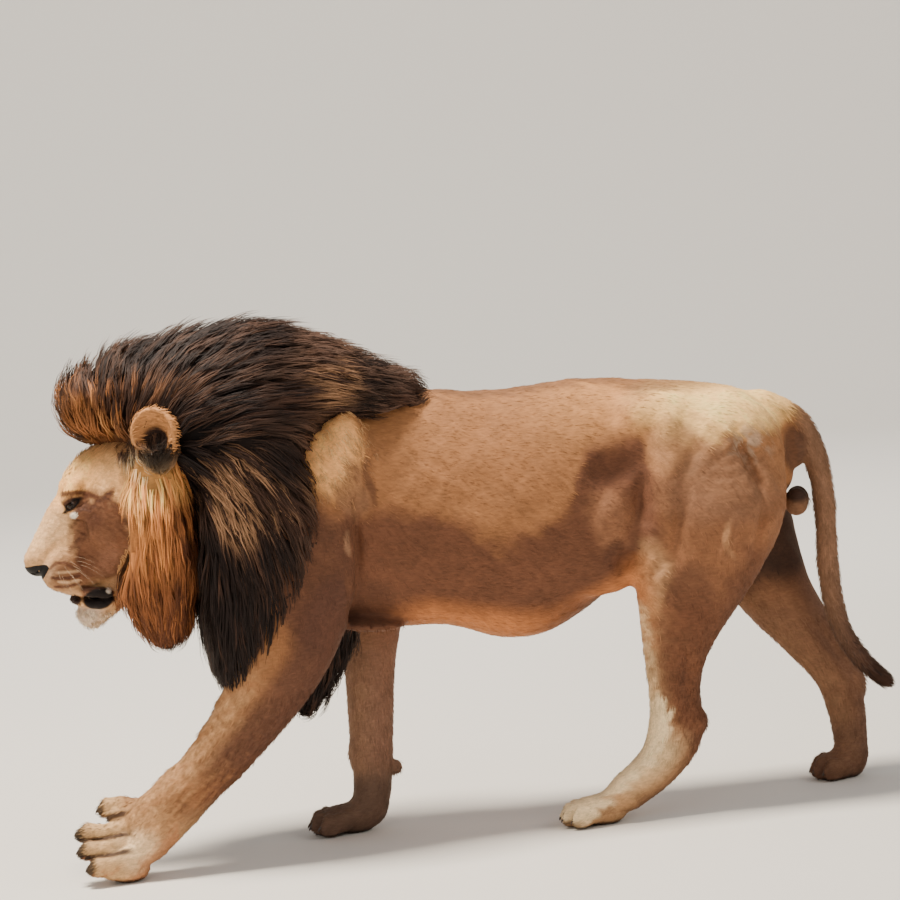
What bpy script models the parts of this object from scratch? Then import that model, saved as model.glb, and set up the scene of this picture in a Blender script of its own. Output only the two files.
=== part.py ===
"""A life-size adult male lion, walking, as one still model.

The lion faces -X with its left side towards -Y, and stands on the plane z = 0.  Its body is
modelled whole from lofts and ellipsoids, wrapped in one skin by a voxel remesh, and then parted
with thin cuts into the pieces that a person would name.  Sizes are over the coat, in metres.
"""

import math

import bmesh
import bpy
from mathutils import Matrix, Vector

# Driving dimensions
VOXEL = 0.009  # grain of the wrapped body
SMOOTH_PASSES = 9
TRIANGLES = 2800  # of the whole body before it is parted
CUT = 0.0007  # gap that a parting cut leaves
MOUTH_GAP = 0.004
SEAT_GAP = 0.0004  # gap around an eye, ear, claw or the scrotum in its socket
RING = 20  # sides of a loft
LOFT_STEPS = 4  # rings between two stations
DOME = (0.0, 0.6, 1.1, 1.4)  # turns, in radians, of the rings that close a loft
SOLE = 0.006  # how far the pads are modelled below the floor before it trims them flat

HEAD_AT = Vector((-0.80, 0.0, 0.90))  # middle of the skull
HEAD_PITCH = math.radians(34)  # the muzzle points this far below level
EYE_AT = (0.092, 0.050, 0.053)  # in the head's frame: forward, up, sideways
EYE_RADIUS = 0.0205
EAR_AT = (-0.709, 0.178, 1.042)  # middle of the right ear
EAR_FACING = (-0.45, 0.85, 0.10)  # the way the right ear opens
EAR_RADII = (0.064, 0.071, 0.030)  # half width, half height, half thickness
EAR_WALL = 0.010
SCROTUM_AT, SCROTUM_RADII = (0.826, 0.0, 0.716), (0.030, 0.033, 0.036)
CLAW_LENGTH, CLAW_RADIUS, CLAW_TIP = 0.026, 0.0062, 0.0012
CLAW_SHOWING = 0.013

FUR, MANE_DARK, MANE_GOLD = "fur_tawny", "mane_dark", "mane_gold"
NOSE, EYE, CLAW = "nose_pad", "eye", "claw"
COLOURS = {
    FUR: ((0.46, 0.29, 0.16), 0.85),
    MANE_DARK: ((0.045, 0.03, 0.022), 0.8),
    MANE_GOLD: ((0.42, 0.2, 0.07), 0.8),
    NOSE: ((0.03, 0.022, 0.02), 0.5),
    EYE: ((0.35, 0.17, 0.04), 0.1),
    CLAW: ((0.12, 0.09, 0.07), 0.4),
}


def clear_scene():
    for obj in list(bpy.data.objects):
        bpy.data.objects.remove(obj, do_unlink=True)


def collection(name, hidden=False):
    made = bpy.data.collections.new(name)
    made.hide_render = hidden
    bpy.context.scene.collection.children.link(made)
    return made


def material(name):
    colour, roughness = COLOURS[name]
    made = bpy.data.materials.get(name) or bpy.data.materials.new(name)
    made.use_nodes = True
    shader = made.node_tree.nodes["Principled BSDF"]
    shader.inputs["Base Color"].default_value = (*colour, 1.0)
    shader.inputs["Roughness"].default_value = roughness
    shader.inputs["Metallic"].default_value = 0.0
    return made


def object_from(name, bm, target):
    mesh = bpy.data.meshes.new(name)
    bm.to_mesh(mesh)
    bm.free()
    obj = bpy.data.objects.new(name, mesh)
    target.objects.link(obj)
    return obj


def ellipsoid(bm, centre, radii, turn=None, segments=28, rings=18):
    """Adds an ellipsoid to bm. turn is a 3x3 rotation."""
    frame = Matrix.Translation(centre) @ (turn.to_4x4() if turn else Matrix.Identity(4))
    scale = Matrix.Diagonal((*radii, 1.0))
    bmesh.ops.create_uvsphere(
        bm, u_segments=segments, v_segments=rings, radius=1.0, matrix=frame @ scale
    )


def spline(stations, steps=LOFT_STEPS):
    """Rows of numbers between the stations, on a Catmull-Rom curve through them."""
    rows = []
    last = len(stations) - 1
    for i in range(last):
        before, here = stations[max(i - 1, 0)], stations[i]
        after, beyond = stations[i + 1], stations[min(i + 2, last)]
        for step in range(steps):
            t = step / steps
            rows.append(
                [
                    0.5 * (2 * b + (c - a) * t + (2 * a - 5 * b + 4 * c - d) * t**2
                           + (3 * b - a - 3 * c + d) * t**3)
                    for a, b, c, d in zip(before, here, after, beyond)
                ]
            )
    return rows + [list(stations[last])]


def loft(bm, stations, egg=0.0):
    """Adds a closed tube with domed ends through stations (x, y, z, half depth, half width).

    The half width runs along Y, and the half depth across the tube in the XZ plane.  egg above
    0 narrows the side that faces up on a tube that runs along +X, as ribs narrow to a spine.
    """
    rows = spline(stations)
    middles = [Vector(row[:3]) for row in rows]
    level = Vector((0, 1, 0))
    last = len(rows) - 1
    rings = []
    for i, (x, y, z, depth, width) in enumerate(rows):
        along = (middles[min(i + 1, last)] - middles[max(i - 1, 0)]).normalized()
        across = along.cross(level).normalized()
        turns = [0.0]
        if i in (0, last):
            turns = DOME if i == last else [-turn for turn in reversed(DOME)]
        for turn in turns:
            share = math.cos(turn)
            middle = middles[i] + along * (min(depth, width) * math.sin(turn))
            ring = []
            for k in range(RING):
                angle = 2 * math.pi * k / RING
                up, out = math.cos(angle), math.sin(angle)
                side = level * (width * share * out * (1 - egg * up))
                ring.append(bm.verts.new(middle + across * (depth * share * up) + side))
            rings.append(ring)
    for one, two in zip(rings, rings[1:]):
        for k in range(RING):
            after = (k + 1) % RING
            bm.faces.new((one[k], one[after], two[after], two[k]))
    bm.faces.new(rings[0][::-1])
    bm.faces.new(rings[-1])


def head_point(forward, up, side=0.0):
    """A point given in the head's own frame: along the muzzle, up from it, and sideways."""
    cos, sin = math.cos(HEAD_PITCH), math.sin(HEAD_PITCH)
    return HEAD_AT + Vector((-cos * forward - sin * up, side, -sin * forward + cos * up))


HEAD_TURN = Matrix.Rotation(-HEAD_PITCH, 3, "Y")


def head_ball(bm, at, radii, side=0.0):
    """An ellipsoid in the head's frame, on both sides where it isn't in the middle."""
    for sign in (-1, 1) if side else (1,):
        ellipsoid(bm, head_point(*at, sign * side), radii, HEAD_TURN)


def head_forms(bm):
    head_ball(bm, (-0.03, 0.030), (0.150, 0.125, 0.117))  # cranium
    head_ball(bm, (0.075, 0.072), (0.052, 0.040, 0.038), 0.045)  # brow ridges
    head_ball(bm, (0.03, -0.040), (0.095, 0.062, 0.085), 0.082)  # cheekbones
    head_ball(bm, (0.12, -0.030), (0.115, 0.078, 0.080))  # upper jaw
    head_ball(bm, (0.205, -0.055), (0.070, 0.047, 0.060), 0.034)  # whisker pads
    head_ball(bm, (0.258, -0.010), (0.028, 0.033, 0.030))  # nose
    bridge = [(0.06, 0.048, 0.055, 0.060), (0.124, 0.045, 0.050, 0.050),
              (0.175, 0.024, 0.046, 0.045), (0.229, 0.002, 0.043, 0.043), (0.255, -0.010, 0.038, 0.038)]
    loft(bm, [(*head_point(a, b), depth, width) for a, b, depth, width in bridge])
    head_ball(bm, (0.110, -0.115), (0.075, 0.066, 0.050))  # corners of the mouth
    head_ball(bm, (0.180, -0.118), (0.080, 0.052, 0.042))  # lips
    jaw = [(-0.02, -0.120, 0.070, 0.100), (0.08, -0.158, 0.056, 0.070),
           (0.160, -0.170, 0.048, 0.054), (0.222, -0.164, 0.043, 0.045)]
    loft(bm, [(*head_point(a, b), depth, width) for a, b, depth, width in jaw])


def side_loft(bm, rows, egg=0.0):
    """A loft along X from rows of x, top, bottom and half width."""
    loft(bm, [(x, 0, (top + low) / 2, (top - low) / 2, half) for x, top, low, half in rows], egg)


def neck_and_mane_forms(bm):
    # Crest over the forehead, crown and nape, blown back in a plume over the withers
    #                x      top    bottom half width
    side_loft(bm, [(-0.855, 1.225, 0.985, 0.125), (-0.780, 1.268, 0.940, 0.156),
                   (-0.690, 1.270, 0.880, 0.184), (-0.580, 1.286, 0.800, 0.235),
                   (-0.450, 1.294, 0.780, 0.255), (-0.350, 1.262, 0.850, 0.235),
                   (-0.240, 1.218, 0.970, 0.190), (-0.150, 1.168, 0.995, 0.145),
                   (-0.100, 1.135, 1.015, 0.105)])
    # Neck, shoulders and chest under the mane, down to the fringe of the bib
    loft(bm, [(-0.485, 0, 1.000, 0.150, 0.250), (-0.488, 0, 0.880, 0.165, 0.262),
              (-0.498, 0, 0.760, 0.150, 0.250), (-0.530, 0, 0.640, 0.115, 0.225),
              (-0.562, 0, 0.540, 0.078, 0.180), (-0.590, 0, 0.465, 0.042, 0.120)])
    # Fringe of the brisket, between the forelegs
    loft(bm, [(-0.310, 0, 0.530, 0.055, 0.060), (-0.355, 0, 0.430, 0.048, 0.045),
              (-0.395, 0, 0.352, 0.030, 0.032)])
    # Beard and cheek ruff
    ellipsoid(bm, (-0.715, 0, 0.700), (0.090, 0.140, 0.110))
    for side in (-1, 1):
        loft(bm, [(-0.700, side * 0.125, 1.000, 0.070, 0.060),
                  (-0.712, side * 0.145, 0.880, 0.085, 0.068),
                  (-0.715, side * 0.142, 0.770, 0.088, 0.072),
                  (-0.718, side * 0.105, 0.670, 0.078, 0.070),
                  (-0.716, side * 0.065, 0.590, 0.048, 0.052)])


def trunk_forms(bm):
    side_loft(bm, [(-0.46, 1.000, 0.600, 0.150), (-0.36, 1.060, 0.545, 0.178), (-0.22, 1.088, 0.510, 0.190),
                   (-0.05, 1.084, 0.500, 0.196), (0.08, 1.067, 0.456, 0.206), (0.19, 1.069, 0.456, 0.205),
                   (0.30, 1.075, 0.508, 0.190), (0.40, 1.068, 0.574, 0.170), (0.52, 1.054, 0.640, 0.164),
                   (0.62, 1.039, 0.700, 0.160), (0.70, 1.020, 0.730, 0.140),
                   (0.765, 0.996, 0.780, 0.070)], egg=0.14)
    ellipsoid(bm, (0.785, 0, 0.790), (0.045, 0.042, 0.055))  # below the root of the tail
    for side in (-1, 1):
        ellipsoid(bm, (-0.300, side * 0.110, 0.880), (0.120, 0.090, 0.160))  # shoulder blade
        ellipsoid(bm, (0.520, side * 0.078, 0.930), (0.160, 0.056, 0.090))  # point of the hip
    ellipsoid(bm, (0.440, -0.100, 0.640), (0.080, 0.060, 0.095))  # folds of the flank
    ellipsoid(bm, (0.560, 0.095, 0.640), (0.110, 0.055, 0.080))


def tail_forms(bm):
    loft(bm, [(0.765, 0, 0.955, 0.048, 0.055), (0.820, 0, 0.932, 0.044, 0.046),
              (0.868, 0, 0.888, 0.036, 0.038), (0.899, 0, 0.805, 0.029, 0.031),
              (0.910, 0, 0.700, 0.027, 0.028), (0.907, 0, 0.580, 0.027, 0.027),
              (0.912, 0, 0.470, 0.026, 0.026), (0.934, 0, 0.378, 0.024, 0.024),
              (0.978, 0, 0.305, 0.023, 0.023), (1.030, 0, 0.252, 0.021, 0.021)])


# Each leg: stations (x, y, z, half depth, half width) from the body down to the paw
LEGS = {
    "fore_left": [(-0.400, -0.135, 0.790, 0.130, 0.080), (-0.410, -0.150, 0.640, 0.138, 0.080),
                  (-0.450, -0.158, 0.520, 0.125, 0.074), (-0.515, -0.160, 0.405, 0.098, 0.068),
                  (-0.600, -0.158, 0.300, 0.078, 0.061), (-0.690, -0.155, 0.212, 0.068, 0.056),
                  (-0.755, -0.153, 0.145, 0.062, 0.055), (-0.810, -0.150, 0.090, 0.056, 0.058)],
    "fore_right": [(-0.270, 0.140, 0.790, 0.120, 0.078), (-0.235, 0.150, 0.640, 0.118, 0.076),
                   (-0.222, 0.148, 0.520, 0.092, 0.068), (-0.228, 0.138, 0.410, 0.069, 0.060),
                   (-0.236, 0.125, 0.300, 0.062, 0.054), (-0.244, 0.118, 0.190, 0.057, 0.050),
                   (-0.248, 0.115, 0.110, 0.052, 0.052), (-0.262, 0.113, 0.055, 0.050, 0.055)],
    "hind_left": [(0.620, -0.090, 0.880, 0.180, 0.078), (0.605, -0.118, 0.760, 0.192, 0.086),
                  (0.575, -0.130, 0.640, 0.172, 0.080), (0.522, -0.132, 0.510, 0.120, 0.068),
                  (0.492, -0.128, 0.400, 0.083, 0.056), (0.482, -0.122, 0.300, 0.065, 0.046),
                  (0.480, -0.118, 0.205, 0.068, 0.041), (0.435, -0.116, 0.125, 0.055, 0.041),
                  (0.350, -0.116, 0.070, 0.050, 0.048)],
    "hind_right": [(0.640, 0.090, 0.860, 0.170, 0.078), (0.690, 0.118, 0.740, 0.160, 0.086),
                   (0.745, 0.128, 0.600, 0.128, 0.078), (0.800, 0.126, 0.480, 0.098, 0.064),
                   (0.868, 0.120, 0.370, 0.074, 0.052), (0.932, 0.115, 0.275, 0.064, 0.043),
                   (0.950, 0.112, 0.195, 0.055, 0.040), (0.957, 0.110, 0.115, 0.049, 0.040),
                   (0.957, 0.110, 0.055, 0.046, 0.044)],
}

# Each paw: middle of the heel, middle of the row of toes, step from toe to toe, how far the
# inner toe is rolled up, how far the toes point up, their radii (length, width, height).
PAWS = {
    "fore_left": ((-0.862, -0.150, 0.034), (-0.938, -0.150, 0.099), 0.044, 52, 6, (0.042, 0.019, 0.023)),
    "fore_right": ((-0.300, 0.113, 0.030), (-0.370, 0.113, 0.032), 0.030, 0, -8, (0.045, 0.0165, 0.028)),
    "hind_left": ((0.285, -0.116, 0.030), (0.217, -0.116, 0.030), 0.028, 0, -8, (0.042, 0.0155, 0.026)),
    "hind_right": ((0.938, 0.110, 0.026), (0.892, 0.110, 0.030), 0.027, 0, -8, (0.042, 0.0155, 0.028)),
}
TOES = (-1.5, -0.5, 0.5, 1.5)  # places across the paw, in steps, outer toe first
TOE_SPLAY = 5  # degrees for each step


def toe_frames(leg):
    """For each toe, outer first: its middle and its turn (X points forward)."""
    heel, row, step, roll, pitch, radii = PAWS[leg]
    inward = 1 if leg.endswith("left") else -1
    paw = Matrix.Rotation(math.radians(roll) * inward, 3, "X")
    frames = []
    for place in TOES:
        reach = -0.009 * place * place
        at = Vector(row) + paw @ Vector((-reach, inward * place * step, 0))
        splay = Matrix.Rotation(math.radians(TOE_SPLAY * place) * -inward, 3, "Z")
        forward = paw @ splay @ Vector((-1, 0, 0))
        forward.z += math.sin(math.radians(pitch))
        frames.append((at, facing(forward.normalized())))
    return frames


def facing(forward):
    """A rotation whose X axis is forward and whose Y axis is level."""
    side = Vector((0, 0, 1)).cross(forward).normalized()
    return Matrix((forward, side, forward.cross(side))).transposed()


def paw_forms(bm, leg):
    heel, row, step, roll, pitch, radii = PAWS[leg]
    heel, row = Vector(heel), Vector(row)
    inward = 1 if leg.endswith("left") else -1
    lean = Matrix.Rotation(math.radians(roll) * inward, 3, "X")
    for at, turn in toe_frames(leg):
        ellipsoid(bm, at, radii, turn, 20, 14)
    instep = heel.lerp(row, 0.45) + Vector((0, 0, 0.010))
    ellipsoid(bm, instep, (0.060, step * 1.75, 0.036), lean)
    ellipsoid(bm, (heel.x, heel.y, 0.024), (0.052, step * 1.25, 0.024 + SOLE))  # heel pad
    low = min(toe_frames(leg), key=lambda frame: frame[0].z)[0]
    if roll:
        ellipsoid(bm, (low.x + 0.010, low.y, 0.020), (0.030, 0.020, 0.020 + SOLE))  # outer toe pad
    else:
        ellipsoid(bm, (row.x + 0.002, row.y, 0.012), (0.034, step * 1.7, 0.012 + SOLE))  # toe pads


def wrapped_body(target):
    """The whole lion, without eyes, ears and claws, as one closed mesh."""
    bm = bmesh.new()
    head_forms(bm)
    neck_and_mane_forms(bm)
    trunk_forms(bm)
    tail_forms(bm)
    for leg, stations in LEGS.items():
        loft(bm, stations)
        paw_forms(bm, leg)
    bmesh.ops.recalc_face_normals(bm, faces=bm.faces)
    body = object_from("body", bm, target)
    remesh = body.modifiers.new("wrap", "REMESH")
    remesh.mode = "VOXEL"
    remesh.voxel_size = VOXEL
    smooth = body.modifiers.new("soften", "SMOOTH")
    smooth.factor, smooth.iterations = 0.5, SMOOTH_PASSES
    bpy.context.view_layer.update()
    faces = len(body.evaluated_get(bpy.context.evaluated_depsgraph_get()).data.polygons)
    decimate = body.modifiers.new("lighten", "DECIMATE")
    decimate.ratio = TRIANGLES / (2 * faces)
    decimate.use_collapse_triangulate = True
    bake_modifiers(body)
    return body


def bake_modifiers(obj):
    bpy.context.view_layer.update()
    graph = bpy.context.evaluated_depsgraph_get()
    mesh = bpy.data.meshes.new_from_object(obj.evaluated_get(graph))
    obj.modifiers.clear()
    obj.data = mesh


def volume_of(piece):
    bm = bmesh.new()
    bm.from_mesh(piece.data)
    volume = bm.calc_volume()
    bm.free()
    return volume


def trim(piece, cutter, operation="DIFFERENCE"):
    """Cuts the cutter out of the piece, or keeps only what they share."""
    before = volume_of(piece)
    cut = piece.modifiers.new("cut", "BOOLEAN")
    cut.operation = operation
    cut.object = cutter
    bake_modifiers(piece)
    if volume_of(piece) >= before:
        raise ValueError(f"{cutter.name} takes nothing off {piece.name}")


def cutter_from(name, bm, target):
    bmesh.ops.recalc_face_normals(bm, faces=bm.faces)
    cutter = object_from(name, bm, target)
    cutter.hide_render = True
    cutter.display_type = "WIRE"
    return cutter


def plate_cutter(name, stretch, points, gap, target):
    """A thin folded plate along points, which are (x, z), drawn out along Y."""
    bm = bmesh.new()
    points = [Vector(point) for point in points]
    last = len(points) - 1
    ribs = []
    for i, point in enumerate(points):
        run = (points[min(i + 1, last)] - points[max(i - 1, 0)]).normalized()
        off = Vector((-run.y, run.x)) * (gap / 2)
        one, two = point + off, point - off
        near, far = stretch
        corners = [(one.x, near, one.y), (one.x, far, one.y), (two.x, far, two.y), (two.x, near, two.y)]
        ribs.append([bm.verts.new(corner) for corner in corners])
    for one, two in zip(ribs, ribs[1:]):
        for k in range(4):
            bm.faces.new((one[k], one[k - 1], two[k - 1], two[k]))
    bm.faces.new(ribs[0])
    bm.faces.new(ribs[-1])
    return cutter_from(name, bm, target)


def prism_cutter(name, stretch, outline, grow, target):
    """A prism over a closed outline of points (x, z), drawn out along Y and grown all round."""
    points = [Vector(point) for point in outline]
    count = len(points)
    bm = bmesh.new()
    ends = ([], [])
    for i, point in enumerate(points):
        run = (points[(i + 1) % count] - points[i - 1]).normalized()
        grown = point + Vector((-run.y, run.x)) * grow
        for end, depth in zip(ends, (stretch[0] - grow, stretch[1] + grow)):
            end.append(bm.verts.new((grown.x, depth, grown.y)))
    for i in range(count):
        after = (i + 1) % count
        bm.faces.new((ends[0][i], ends[0][after], ends[1][after], ends[1][i]))
    bm.faces.new(ends[0])
    bm.faces.new(ends[1])
    return cutter_from(name, bm, target)


def in_head(*points):
    """Points (forward, up) of the head's frame as points (x, z)."""
    placed = [head_point(forward, up) for forward, up in points]
    return tuple((point.x, point.z) for point in placed)


# How the lion is parted.  Each row cuts the first piece along a line and names the part that
# lies to the left of the line, looking along it from the lion's left side.
#    piece, part, stretch of Y that is cut, line, gap
ALL, LEFT, RIGHT = (-0.40, 0.40), (-0.34, -0.001), (0.001, 0.34)
PARTING = (
    ("abdomen", "forearm_left", (-0.34, -0.066), ((-0.27, 0.512), (-0.66, 0.392)), CUT),
    ("forearm_left", "paw_fore_left", ALL, ((-0.70, 0.026), (-0.88, 0.206)), CUT),
    ("abdomen", "forearm_right", (0.066, 0.34), ((-0.08, 0.488), (-0.38, 0.488)), CUT),
    ("forearm_right", "paw_fore_right", ALL, ((-0.10, 0.104), (-0.42, 0.104)), CUT),
    ("abdomen", "tail_base", (-0.06, 0.06), ((0.950, 0.902), (0.842, 0.830)), CUT),
    ("tail_base", "tail_middle", ALL, ((1.00, 0.600), (0.80, 0.600)), CUT),
    ("tail_middle", "tail_tuft", ALL, ((1.030, 0.384), (0.870, 0.290)), CUT),
    ("abdomen", "thigh_left", LEFT, ((0.874, 0.675), (0.368, 0.540)), CUT),
    ("abdomen", "thigh_right", RIGHT, ((0.874, 0.675), (0.368, 0.540)), CUT),
    ("thigh_left", "shank_left", ALL, ((0.70, 0.415), (0.35, 0.475)), CUT),
    ("shank_left", "metatarsus_left", ALL, ((0.62, 0.240), (0.35, 0.240)), CUT),
    ("metatarsus_left", "paw_hind_left", ALL, ((0.42, -0.04), (0.31, 0.21)), CUT),
    ("thigh_right", "shank_right", ALL, ((0.98, 0.545), (0.64, 0.375)), CUT),
    ("shank_right", "metatarsus_right", ALL, ((1.06, 0.240), (0.80, 0.240)), CUT),
    ("metatarsus_right", "paw_hind_right", ALL, ((1.06, 0.096), (0.82, 0.096)), CUT),
    ("abdomen", "hindquarters", ALL, ((0.385, 1.300), (0.385, 0.400)), CUT),
    ("abdomen", "neck", ALL, ((-0.66, 0.36), (-0.555, 0.42), (-0.47, 0.52), (-0.39, 0.65),
     (-0.34, 0.78), (-0.322, 0.92), (-0.29, 1.02), (-0.20, 1.068), (0.02, 1.092)), CUT),
    ("abdomen", "chest", ALL, ((-0.08, 0.300), (-0.08, 1.300)), CUT),
    ("chest", "brisket_fringe", (-0.072, 0.072), ((-0.20, 0.505), (-0.50, 0.505)), CUT),
    ("neck", "head", ALL, ((-0.656, 0.300), (-0.600, 1.400)), CUT),
    ("neck", "mane_plume", ALL, ((-0.38, 1.400), (-0.26, 0.920)), CUT),
    ("neck", "mane_chest", ALL, ((-0.28, 0.722), (-0.78, 0.656)), CUT),
    ("head", "mane_crest", ALL, ((-1.05, 0.992), (-0.50, 1.045)), CUT),
    ("head", "face", ALL, ((-0.740, 0.450), (-0.915, 1.070)), CUT),
    ("head", "ruff", ALL, ((-0.55, 0.815), (-0.95, 0.700)), CUT),
    ("face", "jaw", ALL, in_head((0.060, -0.300), (0.130, -0.126), (0.340, -0.108)), MOUTH_GAP),
    ("face", "nose", ALL, in_head((0.320, -0.044), (0.262, -0.040), (0.248, 0.080)), CUT),
)
# Upper arms, taken out of the chest: stretch of Y and outline (x, z), clockwise from the left.
UPPER_ARMS = {
    "upper_arm_left": ((-0.40, -0.066), ((-0.25, 0.38), (-0.75, 0.38), (-0.75, 0.86), (-0.40, 0.86),
                                         (-0.32, 0.81), (-0.27, 0.68))),
    "upper_arm_right": ((0.066, 0.40), ((-0.105, 0.38), (-0.40, 0.38), (-0.42, 0.60), (-0.40, 0.76),
                                        (-0.32, 0.85), (-0.22, 0.86), (-0.14, 0.79), (-0.105, 0.66))),
}
SLOTS = {
    "neck": MANE_DARK,
    "mane_plume": MANE_DARK,
    "mane_chest": MANE_DARK,
    "mane_crest": MANE_DARK,
    "brisket_fringe": MANE_DARK,
    "tail_tuft": MANE_DARK,
    "ruff": MANE_GOLD,
    "nose": NOSE,
}


def loose_pieces(piece, target):
    """The loose bodies of a piece, each as an object of its own."""
    bm = bmesh.new()
    bm.from_mesh(piece.data)
    left = set(bm.verts)
    groups = []
    while left:
        queue = [left.pop()]
        group = {queue[0].index}
        while queue:
            vert = queue.pop()
            for edge in vert.link_edges:
                other = edge.other_vert(vert)
                if other in left:
                    left.remove(other)
                    group.add(other.index)
                    queue.append(other)
        groups.append(group)
    bm.free()
    pieces = []
    for group in groups:
        part = bmesh.new()
        part.from_mesh(piece.data)
        away = [v for v in part.verts if v.index not in group]
        bmesh.ops.delete(part, geom=away, context="VERTS")
        pieces.append(object_from("piece", part, target))
    bpy.data.objects.remove(piece, do_unlink=True)
    return pieces


def middle_of(piece):
    corners = [Vector(corner) for corner in piece.bound_box]
    return sum(corners, Vector()) / len(corners)


def part_body(body, target, helpers):
    """Parts the body as PARTING says, and returns its pieces by name."""
    pieces = {"abdomen": body}
    for piece, part, stretch, line, gap in PARTING:
        cutter = plate_cutter("cut_" + part, stretch, line, gap, helpers)
        trim(pieces[piece], cutter)
        run = Vector(line[-1]) - Vector(line[0])
        normal = Vector((-run.y, 0, run.x))
        halves = loose_pieces(pieces[piece], target)
        if len(halves) != 2:
            raise ValueError(f"the cut for {part} leaves {len(halves)} pieces")
        bpy.context.view_layer.update()
        halves.sort(key=lambda half: middle_of(half).dot(normal))
        pieces[piece], pieces[part] = halves
    for part, (stretch, outline) in UPPER_ARMS.items():
        pieces[part] = pieces["chest"].copy()
        pieces[part].data = pieces["chest"].data.copy()
        target.objects.link(pieces[part])
        trim(pieces[part], prism_cutter("cut_" + part, stretch, outline, 0.0, helpers), "INTERSECT")
        trim(pieces["chest"], prism_cutter("clear_" + part, stretch, outline, CUT, helpers))
    for name, piece in pieces.items():
        piece.name = name
        piece.data.name = name
    return pieces


def seat(name, slot, build, hosts, target, helpers):
    """Adds a part made by build(bm, swell) and clears a socket for it in its hosts."""
    socket = bmesh.new()
    build(socket, SEAT_GAP)
    cutter = cutter_from("socket_" + name, socket, helpers)
    for host in hosts:
        trim(host, cutter)
    bm = bmesh.new()
    build(bm, 0.0)
    part = object_from(name, bm, target)
    part.data.materials.append(material(slot))
    return part


def ball(centre, radii, turn=None, segments=12, rings=6):
    def build(bm, swell):
        ellipsoid(bm, centre, [radius + swell for radius in radii], turn, segments, rings)
    return build


def claw(base, forward):
    """A claw whose thick end is at base."""
    def build(bm, swell):
        turn = forward.to_track_quat("Z", "Y").to_matrix().to_4x4()
        length = CLAW_LENGTH + 2 * swell
        middle = base + forward * (length / 2 - swell)
        bmesh.ops.create_cone(
            bm, cap_ends=True, segments=8, radius1=CLAW_RADIUS + swell, radius2=CLAW_TIP + swell,
            depth=length, matrix=Matrix.Translation(middle) @ turn)
    return build


def add_seated_parts(pieces, target, helpers):
    for name, side in (("left", -1), ("right", 1)):
        eye = head_point(EYE_AT[0], EYE_AT[1], side * EYE_AT[2])
        seat("eye_" + name, EYE, ball(eye, [EYE_RADIUS] * 3), [pieces["face"]], target, helpers)
        at = Vector((EAR_AT[0], side * EAR_AT[1], EAR_AT[2]))
        out = Vector((EAR_FACING[0], side * EAR_FACING[1], EAR_FACING[2])).normalized()
        turn = out.to_track_quat("Z", "Y").to_matrix()
        hosts = [pieces["head"], pieces["mane_crest"]]
        ear = seat("ear_" + name, FUR, ball(at, EAR_RADII, turn, 16, 8), hosts, target, helpers)
        dish = bmesh.new()
        radii = [radius - EAR_WALL for radius in EAR_RADII]
        ball(at + out * (EAR_WALL * 1.5), radii, turn, 14, 6)(dish, 0.0)
        trim(ear, cutter_from("dish_" + name, dish, helpers))
    build = ball(SCROTUM_AT, SCROTUM_RADII)
    seat("scrotum", FUR, build, [pieces["hindquarters"]], target, helpers)
    for leg in LEGS:
        end, side = leg.split("_")
        for number, (at, turn) in enumerate(toe_frames(leg), 1):
            forward = turn.col[0].normalized()
            tip = at + forward * (PAWS[leg][5][0] + CLAW_SHOWING)
            base = tip - forward * CLAW_LENGTH
            name = f"claw_{end}_{side}_{number}"
            paw = pieces[f"paw_{end}_{side}"]
            seat(name, CLAW, claw(base, forward), [paw], target, helpers)


def centre_on_floor(lion, helpers):
    """Moves everything so that the lion stands over the origin."""
    bpy.context.view_layer.update()
    corners = [corner[:] for part in lion.objects for corner in part.bound_box]
    low, high = [min(axis) for axis in zip(*corners)], [max(axis) for axis in zip(*corners)]
    shift = Vector((-(low[0] + high[0]) / 2, -(low[1] + high[1]) / 2, -low[2]))
    for part in list(lion.objects) + list(helpers.objects):
        part.data.transform(Matrix.Translation(shift))


def main():
    clear_scene()
    lion = collection("lion")
    helpers = collection("cutters", hidden=True)
    body = wrapped_body(lion)
    floor = bmesh.new()
    bmesh.ops.create_cube(floor, size=4.0, matrix=Matrix.Translation((0, 0, -2.0)))
    trim(body, cutter_from("floor", floor, helpers))
    pieces = part_body(body, lion, helpers)
    for name, piece in pieces.items():
        piece.data.materials.append(material(SLOTS.get(name, FUR)))
    add_seated_parts(pieces, lion, helpers)
    centre_on_floor(lion, helpers)


main()
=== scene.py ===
"""The looks of the walking lion: skin, coat, mane, face and studio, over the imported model.

Positions are written in the lion's own design frame, in metres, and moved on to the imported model
by SHIFT. The lion faces -X with its left side towards -Y.
"""

import math
from collections import namedtuple
from concurrent.futures import ThreadPoolExecutor

import bmesh
import bpy
import numpy as np
import openvdb
from mathutils import Matrix, Vector


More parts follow.
